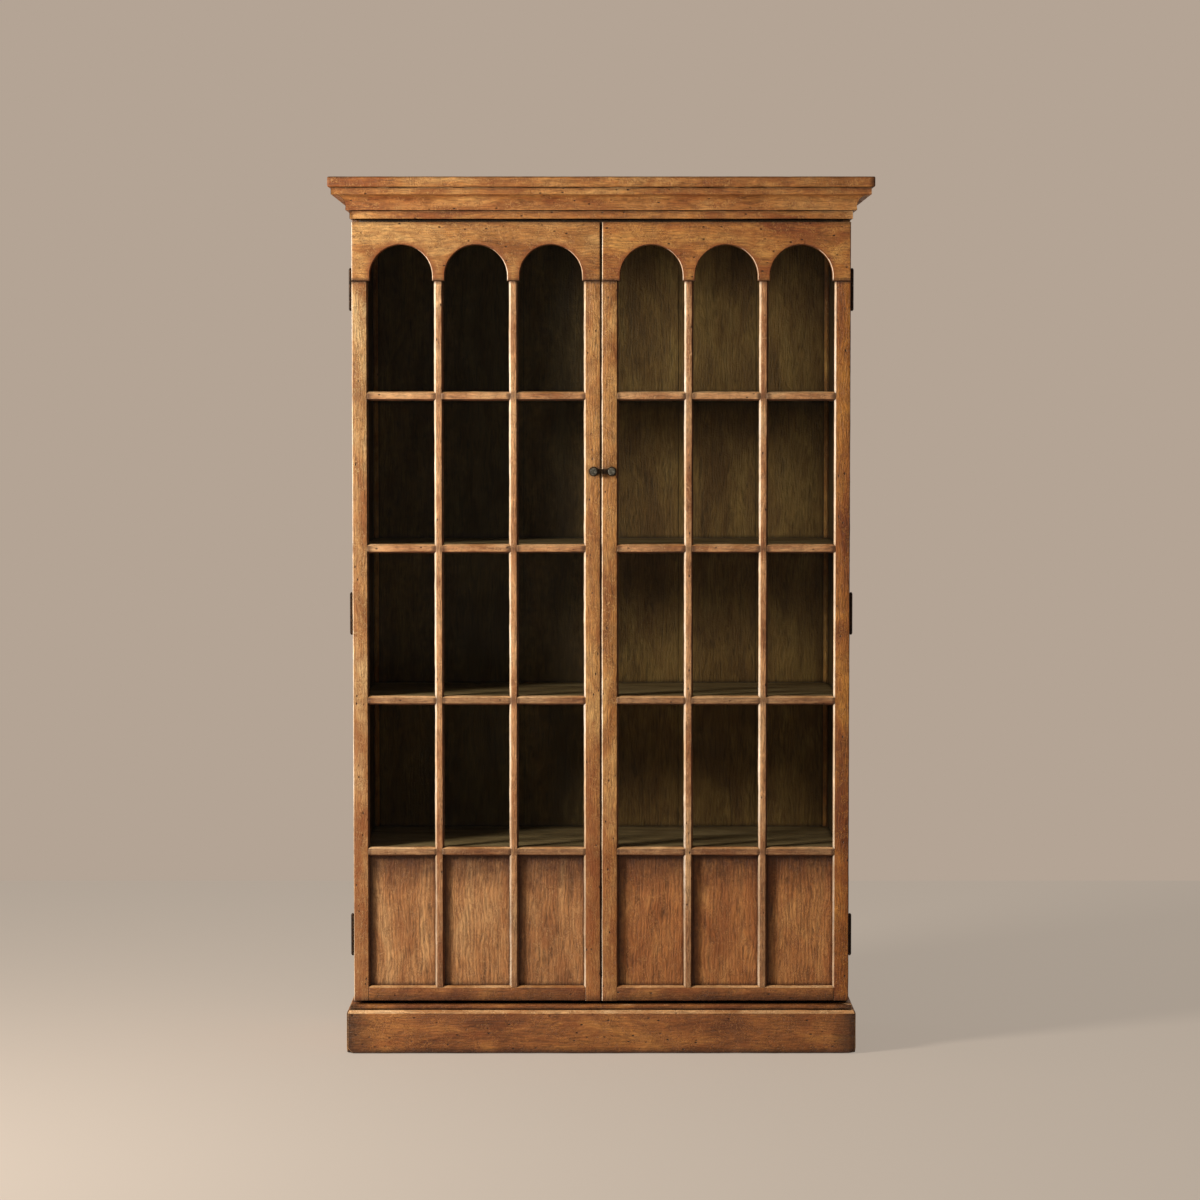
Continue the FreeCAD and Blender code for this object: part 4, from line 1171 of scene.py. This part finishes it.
@dataclass
class Carcass:
    """The box: sides, top and bottom boards, shelves and back boards.

    The bands of painted shade over the back boards' left half, where the case's left side would shade them,
    are given by the place of the middle and by the reach, as shares of half the back's width, and by the
    strength.
    """

    softness: float = 1.5 * MM
    board_chamfer: float = 0.6 * MM
    back_boards: int = 6
    tongue: float = 6 * MM
    shelves: int = 4
    step: float = 25 * MM
    outside: Wear = Wear(0.8 * MM, 0.5 * MM, inward=True)
    inside: Wear = Wear(0.6 * MM, 0.4 * MM, inward=True)
    # Painted shade on the back boards: bands over their left half, and the reach and strength of a band under
    # each shelf.
    left_half_shade: tuple[tuple[float, float, float], ...] = ((1 / 2, 2 / 3, 0.7), (1 / 6, 1 / 4, 0.72))
    under_shelf_shade: tuple[float, float] = (30 * MM, 0.5)

    def board(self, node: str, grain: Grain) -> Piece:
        """One plain board with eased arrises, divided so that it can wear.

        Args:
            node: The node that gives its place and size.
            grain: The run of its grain.

        Returns:
            The board.
        """
        piece = block(node, *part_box(node))
        soften(piece, self.softness)
        for axis in Grain:
            divide(piece, axis, self.step if axis is grain else 3 * self.step)
        return piece

    def back(self) -> Piece:
        """The upright boards of the back, each with a tongue in its neighbour's groove.

        Returns:
            All of them as one object.
        """
        low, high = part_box("back_boards")
        width = (high.x - low.x) / self.back_boards
        third = (high.y - low.y) / 3
        parts = []
        for index in range(self.back_boards):
            start = low.x + index * width
            piece = block("back_board", (start, low.y, low.z), (start + width, high.y, high.z))
            soften(piece, self.board_chamfer, segments=1)
            divide(piece, Grain.UPRIGHT, 2 * self.step)
            parts.append(piece)
            if index:
                foot = (start - self.tongue, low.y + third, low.z + MM)
                head = (start + self.tongue, high.y - third, high.z - MM)
                parts.append(block("tongue", foot, head))
        return joined("back_boards_made", parts)

    def build(self) -> None:
        """Makes every board of the box."""
        upright = [SIDE.build(Grain.UPRIGHT), INNER.build(Grain.UPRIGHT)]
        for node, turn in (("side_left", 1), ("side_right", -1)):
            piece = self.board(node, Grain.UPRIGHT)
            inner = looking(Grain.ACROSS, turn)
            finish_wood(piece, node, "carcass", "case_wood", upright, self.outside, inner)
        flat = [INNER.build(Grain.ACROSS), SHELF.build(Grain.ACROSS)]
        shelves = [f"shelf_{number + 1}" for number in range(self.shelves)]
        for node in ("top_panel", "bottom_panel", *shelves):
            piece = self.board(node, Grain.ACROSS)
            finish_wood(piece, node, "carcass", "inner_wood", flat, self.inside, looking(Grain.UPRIGHT))
        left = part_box("back_boards")[0].x
        # Painted shade over the back boards' left half, where the case's left side would shade them.
        soils_and_shades = [SoilAndShade(Grain.ACROSS, left * place, -left * reach, dose) for place, reach, dose in self.left_half_shade]
        # Painted shade on the back boards just under each shelf.
        soils_and_shades += [SoilAndShade(Grain.UPRIGHT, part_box(node)[0].z, *self.under_shelf_shade) for node in shelves]
        boards = [BACK.build(Grain.UPRIGHT, "boards", soils_and_shades), BACK.build(Grain.UPRIGHT)]
        behind = looking(Grain.DEEP, least=0.3)
        finish_wood(self.back(), "back_boards", "carcass", "inner_wood", boards, self.outside, behind)
        dress_node("corner_beads", OUTER.build(Grain.UPRIGHT))


# How far each dark band reaches from a place on a door, and how strong it is there, 0 to 1. The joint,
# crossing, top, foot and rail bands are dirt and dark wax, and the arch band is red-brown wax. The impost
# band is dark wax and painted shade under the proud head. The shade and panel bands are painted shadow beside
# the stiles and mullions and painted shade under the lowest bars. The others make the mullions, bars and
# highlit bevels darker, and the stiles redder, towards the bottom.
WAX_AND_SHADE = {
    "joint": (15 * MM, 0.5),
    "impost": (8 * MM, 0.8),
    "top": (9 * MM, 0.5),
    "foot": (16 * MM, 0.6),
    "rail": (26 * MM, 0.6),
    "crossing": (9 * MM, 0.75),
    "shade": (17 * MM, 0.75),
    "arch": (15 * MM, 0.85),
    "mullion": (450 * MM, 0.38),
    "bar": (500 * MM, 0.58),
    "panel": (95 * MM, 0.9),
    "bevel": (300 * MM, 0.5),
    "meeting stile": (700 * MM, 0.55),
    "hinge stile": (1500 * MM, 0.55),
}


@dataclass
class Doors:
    """Both doors. The right-hand one is modelled, and the left-hand one is its mirror image."""

    bevel_width: float = 4 * MM
    bevel_depth: float = 9 * MM
    shoulder: float = 18 * MM
    rebate: float = 7 * MM
    edge_chamfer: float = 2 * MM
    header_proud: float = 2 * MM
    header_easing: float = 3.5 * MM
    arch_radius: float = 75 * MM
    arch_stilt: float = 12.5 * MM
    saw_length: float = 200 * MM
    softness: float = 1.1 * MM
    step: float = 9 * MM
    panel_room: float = 0.5 * MM
    wear: Wear = Wear(1.8 * MM, 1.1 * MM)
    hinge_wear: Wear = Wear(0.9 * MM, 0.7 * MM, inward=True)

    def __post_init__(self) -> None:
        """Reads from the frame where the right-hand door's pieces stand."""
        self.hinge_low, self.hinge_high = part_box("right_door_hinge_stile")
        self.meet_low, self.meet_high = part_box("right_door_meeting_stile")
        head_low, self.head_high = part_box("right_door_header")
        self.face = head_low.y + self.header_proud
        self.impost = head_low.z
        rail_low, rail_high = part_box("right_door_bottom_rail")
        self.rail_low, self.rail_top = rail_low.z, rail_high.z
        bars_low, bars_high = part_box("right_door_bars")
        mullions_low, mullions_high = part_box("right_door_mullions")
        self.bar_back = mullions_high.y
        self.left_inner = self.meet_high.x
        self.right_inner = self.hinge_low.x
        # Both mullions span a pane and two bars, and the clear width is three panes and two bars.
        span = mullions_high.x - mullions_low.x
        clear = self.right_inner - self.left_inner
        self.bar_width = (PANE_COLUMNS * span - clear) / (PANE_COLUMNS + 1)
        self.sight = (clear - 2 * self.bar_width) / PANE_COLUMNS
        self.pitch = self.sight + self.bar_width
        first, last = bars_low.z + self.bar_width / 2, bars_high.z - self.bar_width / 2
        self.bar_heights = [first + (last - first) * row / (BAR_ROWS - 1) for row in range(BAR_ROWS)]
        LOG.info("bar %.4f sight %.4f rows %s", self.bar_width, self.sight, self.bar_heights)

    def pane_centre(self, column: int) -> float:
        """The middle of a column of panes."""
        return self.left_inner + self.sight / 2 + column * self.pitch

    def stile(self, name: str, inner: float, outer: float, back: float) -> Piece:
        """An upright of the frame: squared, bevelled and rebated inside, eased outside.

        Args:
            name: The object's name.
            inner: Where its edge beside the panes is.
            outer: Where its outer edge is.
            back: How far back it reaches.

        Returns:
            The upright.
        """
        turn = 1 if outer > inner else -1
        low = (min(inner, outer), self.face, self.rail_low)
        piece = block(name, low, (max(inner, outer), back, self.impost))
        slope = (-turn * self.bevel_depth, -self.bevel_width, 0)
        plane_off(piece, (inner, self.face + self.bevel_depth, 0), slope)
        plane_off(piece, (outer, self.face + self.edge_chamfer, 0), (turn, -1, 0))
        edges = sorted((inner - turn * OVERRUN, inner + turn * self.rebate))
        cut_block(
            piece,
            (edges[0], self.face + self.shoulder, self.rail_low - OVERRUN),
            (edges[1], back + OVERRUN, self.impost + OVERRUN),
        )
        return piece

    def glazing_bar(self, name: str, low: float, high: float, upright: bool) -> Piece:
        """A bar with two bevels in front and a web behind, its middle on the axis.

        Args:
            name: The object's name.
            low: Where it starts.
            high: Where it ends.
            upright: Whether it runs along Z and not X.

        Returns:
            The bar.
        """
        half = self.bar_width / 2
        length, width = (2, 0) if upright else (0, 2)

        def point(run: float, offset: float, depth: float) -> tuple[float, float, float]:
            """A point of the bar.

            Args:
                run: Its place along the bar.
                offset: Its place across the bar.
                depth: How far it is behind the door's face.

            Returns:
                Its coordinates.
            """
            values = [0.0, self.face + depth, 0.0]
            values[length] = run
            values[width] = offset
            return tuple(values)

        depth = self.bar_back - self.face
        piece = block(name, point(low, -half, 0), point(high, half, depth))
        for turn in (-1, 1):
            slope = [0.0, -self.bevel_width, 0.0]
            slope[width] = turn * self.bevel_depth
            plane_off(piece, point(0, turn * half, self.bevel_depth), slope)
            offsets = sorted((turn * (half - self.rebate), turn * (half + OVERRUN)))
            cut_block(
                piece,
                point(low - OVERRUN, offsets[0], self.shoulder),
                point(high + OVERRUN, offsets[1], depth + OVERRUN),
            )
        return piece

    def header(self, name: str) -> Piece:
        """The head board, sawn through with three stilted arches and eased round its face.

        Args:
            name: The object's name.

        Returns:
            The board.
        """
        front = self.face - self.header_proud
        piece = block(name, (self.meet_low.x, front, self.impost), self.head_high)
        spring = self.impost + self.arch_stilt
        for column in range(PANE_COLUMNS):
            centre = self.pane_centre(column)
            place = (centre, self.face, spring)
            cut_with(piece, rod(place, self.arch_radius, self.saw_length, (math.pi / 2, 0, 0), ROUND_SIDES))
            cut_block(
                piece,
                (centre - self.arch_radius, front - OVERRUN, self.impost - OVERRUN),
                (centre + self.arch_radius, self.head_high.y + OVERRUN, spring),
            )
        with editing(piece):
            pick(piece, "EDGE", lambda edge: all(abs(v.co.y - front) < WELD for v in edge.verts))
            bpy.ops.mesh.bevel(offset=self.header_easing, segments=4, profile=0.5, clamp_overlap=True)
        return piece

    def shapes(self) -> dict[str, Piece]:
        """The right-hand door's wooden pieces but for its panels, sharp and straight.

        Returns:
            Each piece by its name. There is one bar, the lowest in the middle.
        """
        hinge = self.stile("hinge_stile", self.right_inner, self.hinge_high.x, self.hinge_high.y)
        meeting = self.stile("meeting_stile", self.left_inner, self.meet_low.x, self.meet_high.y)
        low = (self.left_inner - self.rebate, self.face, self.rail_low)
        high = (self.right_inner + self.rebate, self.hinge_high.y, self.rail_top)
        rail = block("bottom_rail", low, high)
        slope = (0, -self.bevel_width, self.bevel_depth)
        plane_off(rail, (0, self.face + self.bevel_depth, self.rail_top), slope)
        plane_off(rail, (0, self.face + self.edge_chamfer, self.rail_low), (0, -1, -1))
        cut_block(
            rail,
            (low[0] - OVERRUN, self.face + self.shoulder, self.rail_top - self.rebate),
            (high[0] + OVERRUN, high[1] + OVERRUN, self.rail_top + OVERRUN),
        )
        cut_with(rail, hinge, keep=True)
        cut_with(rail, meeting, keep=True)
        upright = self.glazing_bar("mullion", (self.rail_low + self.rail_top) / 2, self.impost, upright=True)
        middle = (self.pane_centre(0) + self.pane_centre(1)) / 2
        mullions = [
            copied(upright, "mullion", shift=(middle + column * self.pitch, 0, 0))
            for column in range(PANE_COLUMNS - 1)
        ]
        bpy.data.objects.remove(upright)
        for mullion in mullions:
            cut_with(mullion, rail, keep=True)
        centre = self.pane_centre(1)
        reach = self.sight / 2 + self.rebate
        bar = self.glazing_bar("bar", centre - reach, centre + reach, upright=False)
        alone(bar)
        bar.location.z = self.bar_heights[0]
        settle()
        for mullion in mullions:
            cut_with(bar, mullion, keep=True)
        return {
            "header": self.header("header"),
            "hinge_stile": hinge,
            "meeting_stile": meeting,
            "bottom_rail": rail,
            "mullions": joined("mullions", mullions),
            "bars": bar,
        }

    def panel(self, column: int) -> Piece:
        """A flat board in the lowest opening of a column.

        Args:
            column: Which column, from the middle of the cabinet.

        Returns:
            The board.
        """
        low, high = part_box("right_door_panels")
        centre = self.pane_centre(column)
        half = self.sight / 2 + self.rebate - self.panel_room
        return block("panel", (centre - half, low.y, low.z), (centre + half, high.y, high.z))

    def build(self) -> None:
        """Makes, wears and dresses the wood of both doors."""
        shapes = self.shapes()
        grains = {
            "header": Grain.ACROSS,
            "hinge_stile": Grain.UPRIGHT,
            "meeting_stile": Grain.UPRIGHT,
            "bottom_rail": Grain.ACROSS,
            "mullions": Grain.UPRIGHT,
            "bars": Grain.ACROSS,
            "panels": Grain.UPRIGHT,
        }
        bar = shapes.pop("bars")
        soften(bar, self.softness)
        divide(bar, Grain.ACROSS, self.step)
        bars = [
            copied(bar, "bar", shift=((column - 1) * self.pitch, 0, height - self.bar_heights[0]))
            for height in self.bar_heights
            for column in range(PANE_COLUMNS)
        ]
        bpy.data.objects.remove(bar)
        panels = [self.panel(column) for column in range(PANE_COLUMNS)]
        for name, piece in shapes.items():
            soften(piece, self.softness)
            divide(piece, grains[name], self.step)
        divide(shapes["header"], Grain.UPRIGHT, self.step)
        shapes["bars"] = joined("bars", bars)
        shapes["panels"] = joined("panels", panels)
        soften(shapes["panels"], self.softness)
        divide(shapes["panels"], Grain.UPRIGHT, self.step)
        divide(shapes["panels"], Grain.ACROSS, self.step)
        for name, piece in shapes.items():
            other = copied(piece, f"left_{name}", mirror=True)
            slot, choose = ("panel_wood", None) if name == "panels" else ("door_wood", self.bevel_finish)
            wear = self.hinge_wear if name in ("hinge_stile", "header") else self.wear
            for side, shape in ((Side.RIGHT, piece), (Side.LEFT, other)):
                door = f"{side.value}_door"
                woods = self.woods(side, name, grains[name])
                finish_wood(shape, f"{door}_{name}", door, slot, woods, wear, choose)
        for side in DOOR_SIDES:
            door = f"{side.value}_door"
            dress_node(f"{door}_glass", GLASS.build())
            dress_node(f"{door}_glazing_beads", INNER.build(Grain.UPRIGHT))
            dress_node(f"{door}_hinge_leaves", HINGE.build())
            dress_node(f"{door}_hinge_screws", HINGE.build())

    def woods(self, side: Side, name: str, grain: Grain) -> list[Material]:
        """The finishes of one kind of piece, with dark wax and painted shade where it meets others.

        Args:
            side: Which door. The left-hand one gets paler wood as painted light, the right-hand one darker,
                redder wood as painted shade.
            name: Which piece of the door.
            grain: The run of its grain.

        Returns:
            Its finish, and the finishes of its bevels with painted highlight, with painted shade, and worn
            and painted lighter.
        """
        # A level band lies across the upright axis, and an upright band across the level one.
        level, upright = Grain.UPRIGHT, Grain.ACROSS
        joints = [SoilAndShade(level, height, *WAX_AND_SHADE["joint"]) for height in self.bar_heights]
        # Dark wax and painted shade under the proud head.
        impost = SoilAndShade(level, self.impost, *WAX_AND_SHADE["impost"])
        foot = SoilAndShade(level, self.rail_low, *WAX_AND_SHADE["foot"])
        columns = [self.pane_centre(column) for column in range(PANE_COLUMNS)]
        half = self.sight / 2
        edges = [turn * (centre + edge) for turn in (-1, 1) for centre in columns for edge in (-half, half)]
        lefts = [turn * centre - half for turn in (-1, 1) for centre in columns]
        between = (self.bar_heights[0] + self.bar_heights[1]) / 2
        soils_and_shades = {
            "header": [impost, SoilAndShade(level, self.head_high.z, *WAX_AND_SHADE["top"])],
            "hinge_stile": [impost, foot],
            "meeting_stile": [impost, foot, SoilAndShade(level, self.rail_low, *WAX_AND_SHADE["meeting stile"], red=True)],
            "mullions": [impost, *joints, SoilAndShade(level, self.rail_top, *WAX_AND_SHADE["mullion"])],
            "bars": [
                *[SoilAndShade(upright, edge, *WAX_AND_SHADE["crossing"]) for edge in edges],
                SoilAndShade(level, between, *WAX_AND_SHADE["bar"]),
            ],
            "bottom_rail": [SoilAndShade(level, self.rail_low, *WAX_AND_SHADE["rail"])],
            # Painted shade under the lowest bar, and painted shadow along each panel's left edge.
            "panels": [
                SoilAndShade(level, self.bar_heights[0], *WAX_AND_SHADE["panel"]),
                *[SoilAndShade(upright, edge, *WAX_AND_SHADE["shade"]) for edge in lefts],
            ],
        }
        # The left-hand door and both meeting stiles get paler wood as painted light from the lamp at the
        # left; the right-hand door gets darker, redder wood as painted shade.
        own = {
            "meeting_stile": PALE_LIT_PINE,
            "bottom_rail": PLINTH,
            "mullions": BARS,
            "bars": BARS,
            "panels": PANEL,
        }
        if side is Side.LEFT:
            own.update(hinge_stile=MOST_LIT_STILE, header=PALE_LIT_PINE)
            soils_and_shades["hinge_stile"].append(SoilAndShade(level, self.rail_low, *WAX_AND_SHADE["hinge stile"], red=True))
        else:
            own.update(hinge_stile=MOST_SHADED_STILE, header=SHADED_RIGHT_DOOR, panels=SHADED_RED_PANEL)
        spring = self.impost + self.arch_stilt
        arches = [Ring(centre, spring, self.arch_radius, *WAX_AND_SHADE["arch"]) for centre in columns]
        wood = own[name].build(grain, name, soils_and_shades[name], arches if name == "header" else [])
        # Painted highlight on the bevels turned to the lamp, fainter at the joints and lower down.
        low_down = SoilAndShade(level, (self.rail_top + self.bar_heights[0]) / 2, *WAX_AND_SHADE["bevel"])
        rubbed = HIGHLIGHT_BEVEL.build(grain, "bevel", [impost, *joints, low_down])
        return [wood, rubbed, SHADE_BEVEL.build(grain), WORN.build(grain)]

    def bevel_finish(self, face: Face) -> Bevel:
        """Picks a face's finish: painted highlight looking left, worn and lighter up, painted shade right or
        down.

        Args:
            face: A face of the door's wood.

        Returns:
            Its finish.
        """
        across, up = face.normal.x, face.normal.z
        if face.center.y > self.face + self.bevel_depth + MM or abs(across) + abs(up) < 0.4:
            return Bevel.PLAIN
        if across < -0.45:
            return Bevel.BLEACHED
        if up > 0.6:
            return Bevel.WORN
        return Bevel.WAXED if across > 0.45 or up < -0.4 else Bevel.PLAIN


@dataclass
class Ironwork:
    """The hinges on the case, the slide latch and the two turned knobs."""

    head: float = 11 * MM
    head_radius: float = 9.3 * MM
    stem_radius: float = 3 * MM
    rim: float = 2.2 * MM
    dish: float = 0.5 * MM
    sides: int = 48

    def knob(self, node: str) -> Piece:
        """A knob with a rounded rim, a face dished a little, a coned back and a stem as long as the node's.

        Args:
            node: The node that it stands for.

        Returns:
            The knob.
        """
        low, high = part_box(node)
        middle = (low + high) / 2
        place = (middle.x, low.y + self.head / 2, middle.z)
        piece = rod(place, self.head_radius, self.head, (math.pi / 2, 0, 0), self.sides)
        with editing(piece):
            pick(piece, "FACE", lambda face: face.normal.y > 0.9)
            bpy.ops.mesh.inset(thickness=self.rim)
            bpy.ops.transform.translate(value=(0, self.rim, 0))
            bpy.ops.mesh.inset(thickness=self.head_radius - self.rim - self.stem_radius)
            length = high.y - low.y - self.head - self.rim
            bpy.ops.mesh.extrude_region_move(TRANSFORM_OT_translate={"value": (0, length, 0)})
            pick(piece, "EDGE", lambda edge: all(v.co.y < low.y + WELD for v in edge.verts))
            bpy.ops.mesh.bevel(offset=self.rim, segments=4, profile=0.5)
            pick(piece, "FACE", lambda face: face.normal.y < -0.99 and face.calc_area() > self.stem_radius**2)
            bpy.ops.mesh.inset(thickness=self.rim / 2)
            bpy.ops.mesh.inset(thickness=self.rim / 2)
            bpy.ops.transform.translate(value=(0, self.dish, 0))
        return piece

    def build(self) -> None:
        """Turns the knobs and dresses the metal nodes."""
        for node, body in (("right_knob", "right_door"), ("latch_knob", "latch_slide")):
            piece = self.knob(node)
            piece.name = f"{node}_turned"
            smooth(piece, 40)
            dress(piece, [KNOB.build()])
            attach(piece, body)
            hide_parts(node)
            LOG.info("%s: %d faces", piece.name, len(piece.data.polygons))
        for node in ("carcass_hinge_leaves", "carcass_hinge_screws", "hinge_pins"):
            dress_node(node, HINGE.build())
        for name in ("housing", "screws_left", "keeper", "screws_right", "bolt"):
            dress_node(f"latch_{name}", LATCH.build())
        for name in ("rose", "nut"):
            dress_node(f"right_knob_{name}", LATCH.build())


@dataclass
class Studio:
    """Camera, lamp, sky and floor."""

    focal_length: float = 108.2
    sensor: float = 36
    camera_place: tuple[float, float, float] = (-0.0030, -8.973, 1.583)
    camera_pitch: float = 3.085
    lamp_place: tuple[float, float, float] = (-3.15, -2.3, 2.2)
    lamp_aim: tuple[float, float, float] = (0.0, -0.2, 1.1)
    lamp_width: float = 1.0
    lamp_power: float = 192
    lamp_tone: str = "#fff4e6"
    fill: float = 0.16
    fill_tone: str = "#fff9f1"
    wall: str = "#b4a495"
    floor: str = "#d9cdc1"
    floor_shown: str = "#c8baab"
    floor_evenness: float = 0.6
    floor_reach: float = 14
    wall_line: float = 3.0
    floor_gap: float = 0.5 * MM

    def build(self) -> None:
        """Sets the camera, the lamp, the world and the floor."""
        camera = bpy.data.objects.new("camera", bpy.data.cameras.new("camera"))
        bpy.context.scene.collection.objects.link(camera)
        camera.data.lens = self.focal_length
        camera.data.sensor_width = self.sensor
        camera.location = self.camera_place
        camera.rotation_euler = (math.radians(90 - self.camera_pitch), 0, 0)
        bpy.context.scene.camera = camera
        lamp = bpy.data.objects.new("key", bpy.data.lights.new("key", "AREA"))
        bpy.context.scene.collection.objects.link(lamp)
        lamp.data.shape = "DISK"
        lamp.data.size = self.lamp_width
        lamp.data.energy = self.lamp_power
        lamp.data.color = colour(self.lamp_tone)[:3]
        lamp.location = self.lamp_place
        aim = Vector(self.lamp_aim) - Vector(self.lamp_place)
        lamp.rotation_euler = aim.to_track_quat("-Z", "Y").to_euler()
        self.sky()
        bpy.ops.object.select_all(action="DESELECT")
        bpy.ops.mesh.primitive_plane_add(size=1)
        ground = bpy.context.object
        ground.name = "floor"
        ground.scale = (2 * self.floor_reach, self.floor_reach + self.wall_line, 1)
        ground.location = (0, (self.wall_line - self.floor_reach) / 2, -self.floor_gap)
        settle()
        dress(ground, [Finish("pale_floor").material("", self.ground)])
        bpy.context.scene.view_settings.view_transform = "Standard"

    def ground(self, add: Callable) -> Socket:
        """Pale floor that takes shadows, evened out for the camera by some light of its own.

        Args:
            add: Adds a node.

        Returns:
            The shader.
        """
        surface = add("BsdfPrincipled", Base_Color=colour(self.floor), Roughness=0.8)
        shown = add("Emission", Color=colour(self.floor_shown), Strength=1.0)
        share = add("Math", add("LightPath", out="Is Camera Ray"), self.floor_evenness, operation="MULTIPLY")
        return add("MixShader", share, surface, shown)

    def sky(self) -> None:
        """A plain wall tone for the camera and reflections, and a soft warm light for everything else."""
        world = bpy.data.worlds.new("sky")
        bpy.context.scene.world = world
        add = Nodes(world).add
        path = add("LightPath", out=None)
        seen = add("Math", path["Is Camera Ray"], path["Is Transmission Ray"], operation="MAXIMUM")
        seen = add("Math", seen, path["Is Glossy Ray"], operation="MAXIMUM")
        lit = add("Background", Color=colour(self.fill_tone), Strength=self.fill)
        shown = add("Background", Color=colour(self.wall), Strength=1.0)
        add("OutputWorld", add("MixShader", seen, lit, shown), out=None)


def main() -> None:
    """Builds the cabinet's looks and its studio."""
    logging.basicConfig(level=logging.INFO, format="%(name)s: %(message)s")
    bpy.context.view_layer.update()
    Studio().build()
    for part in (Plinth(), Cornice(), Carcass(), Doors(), Ironwork()):
        part.build()


if __name__ == "__main__":
    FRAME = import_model()
    main()
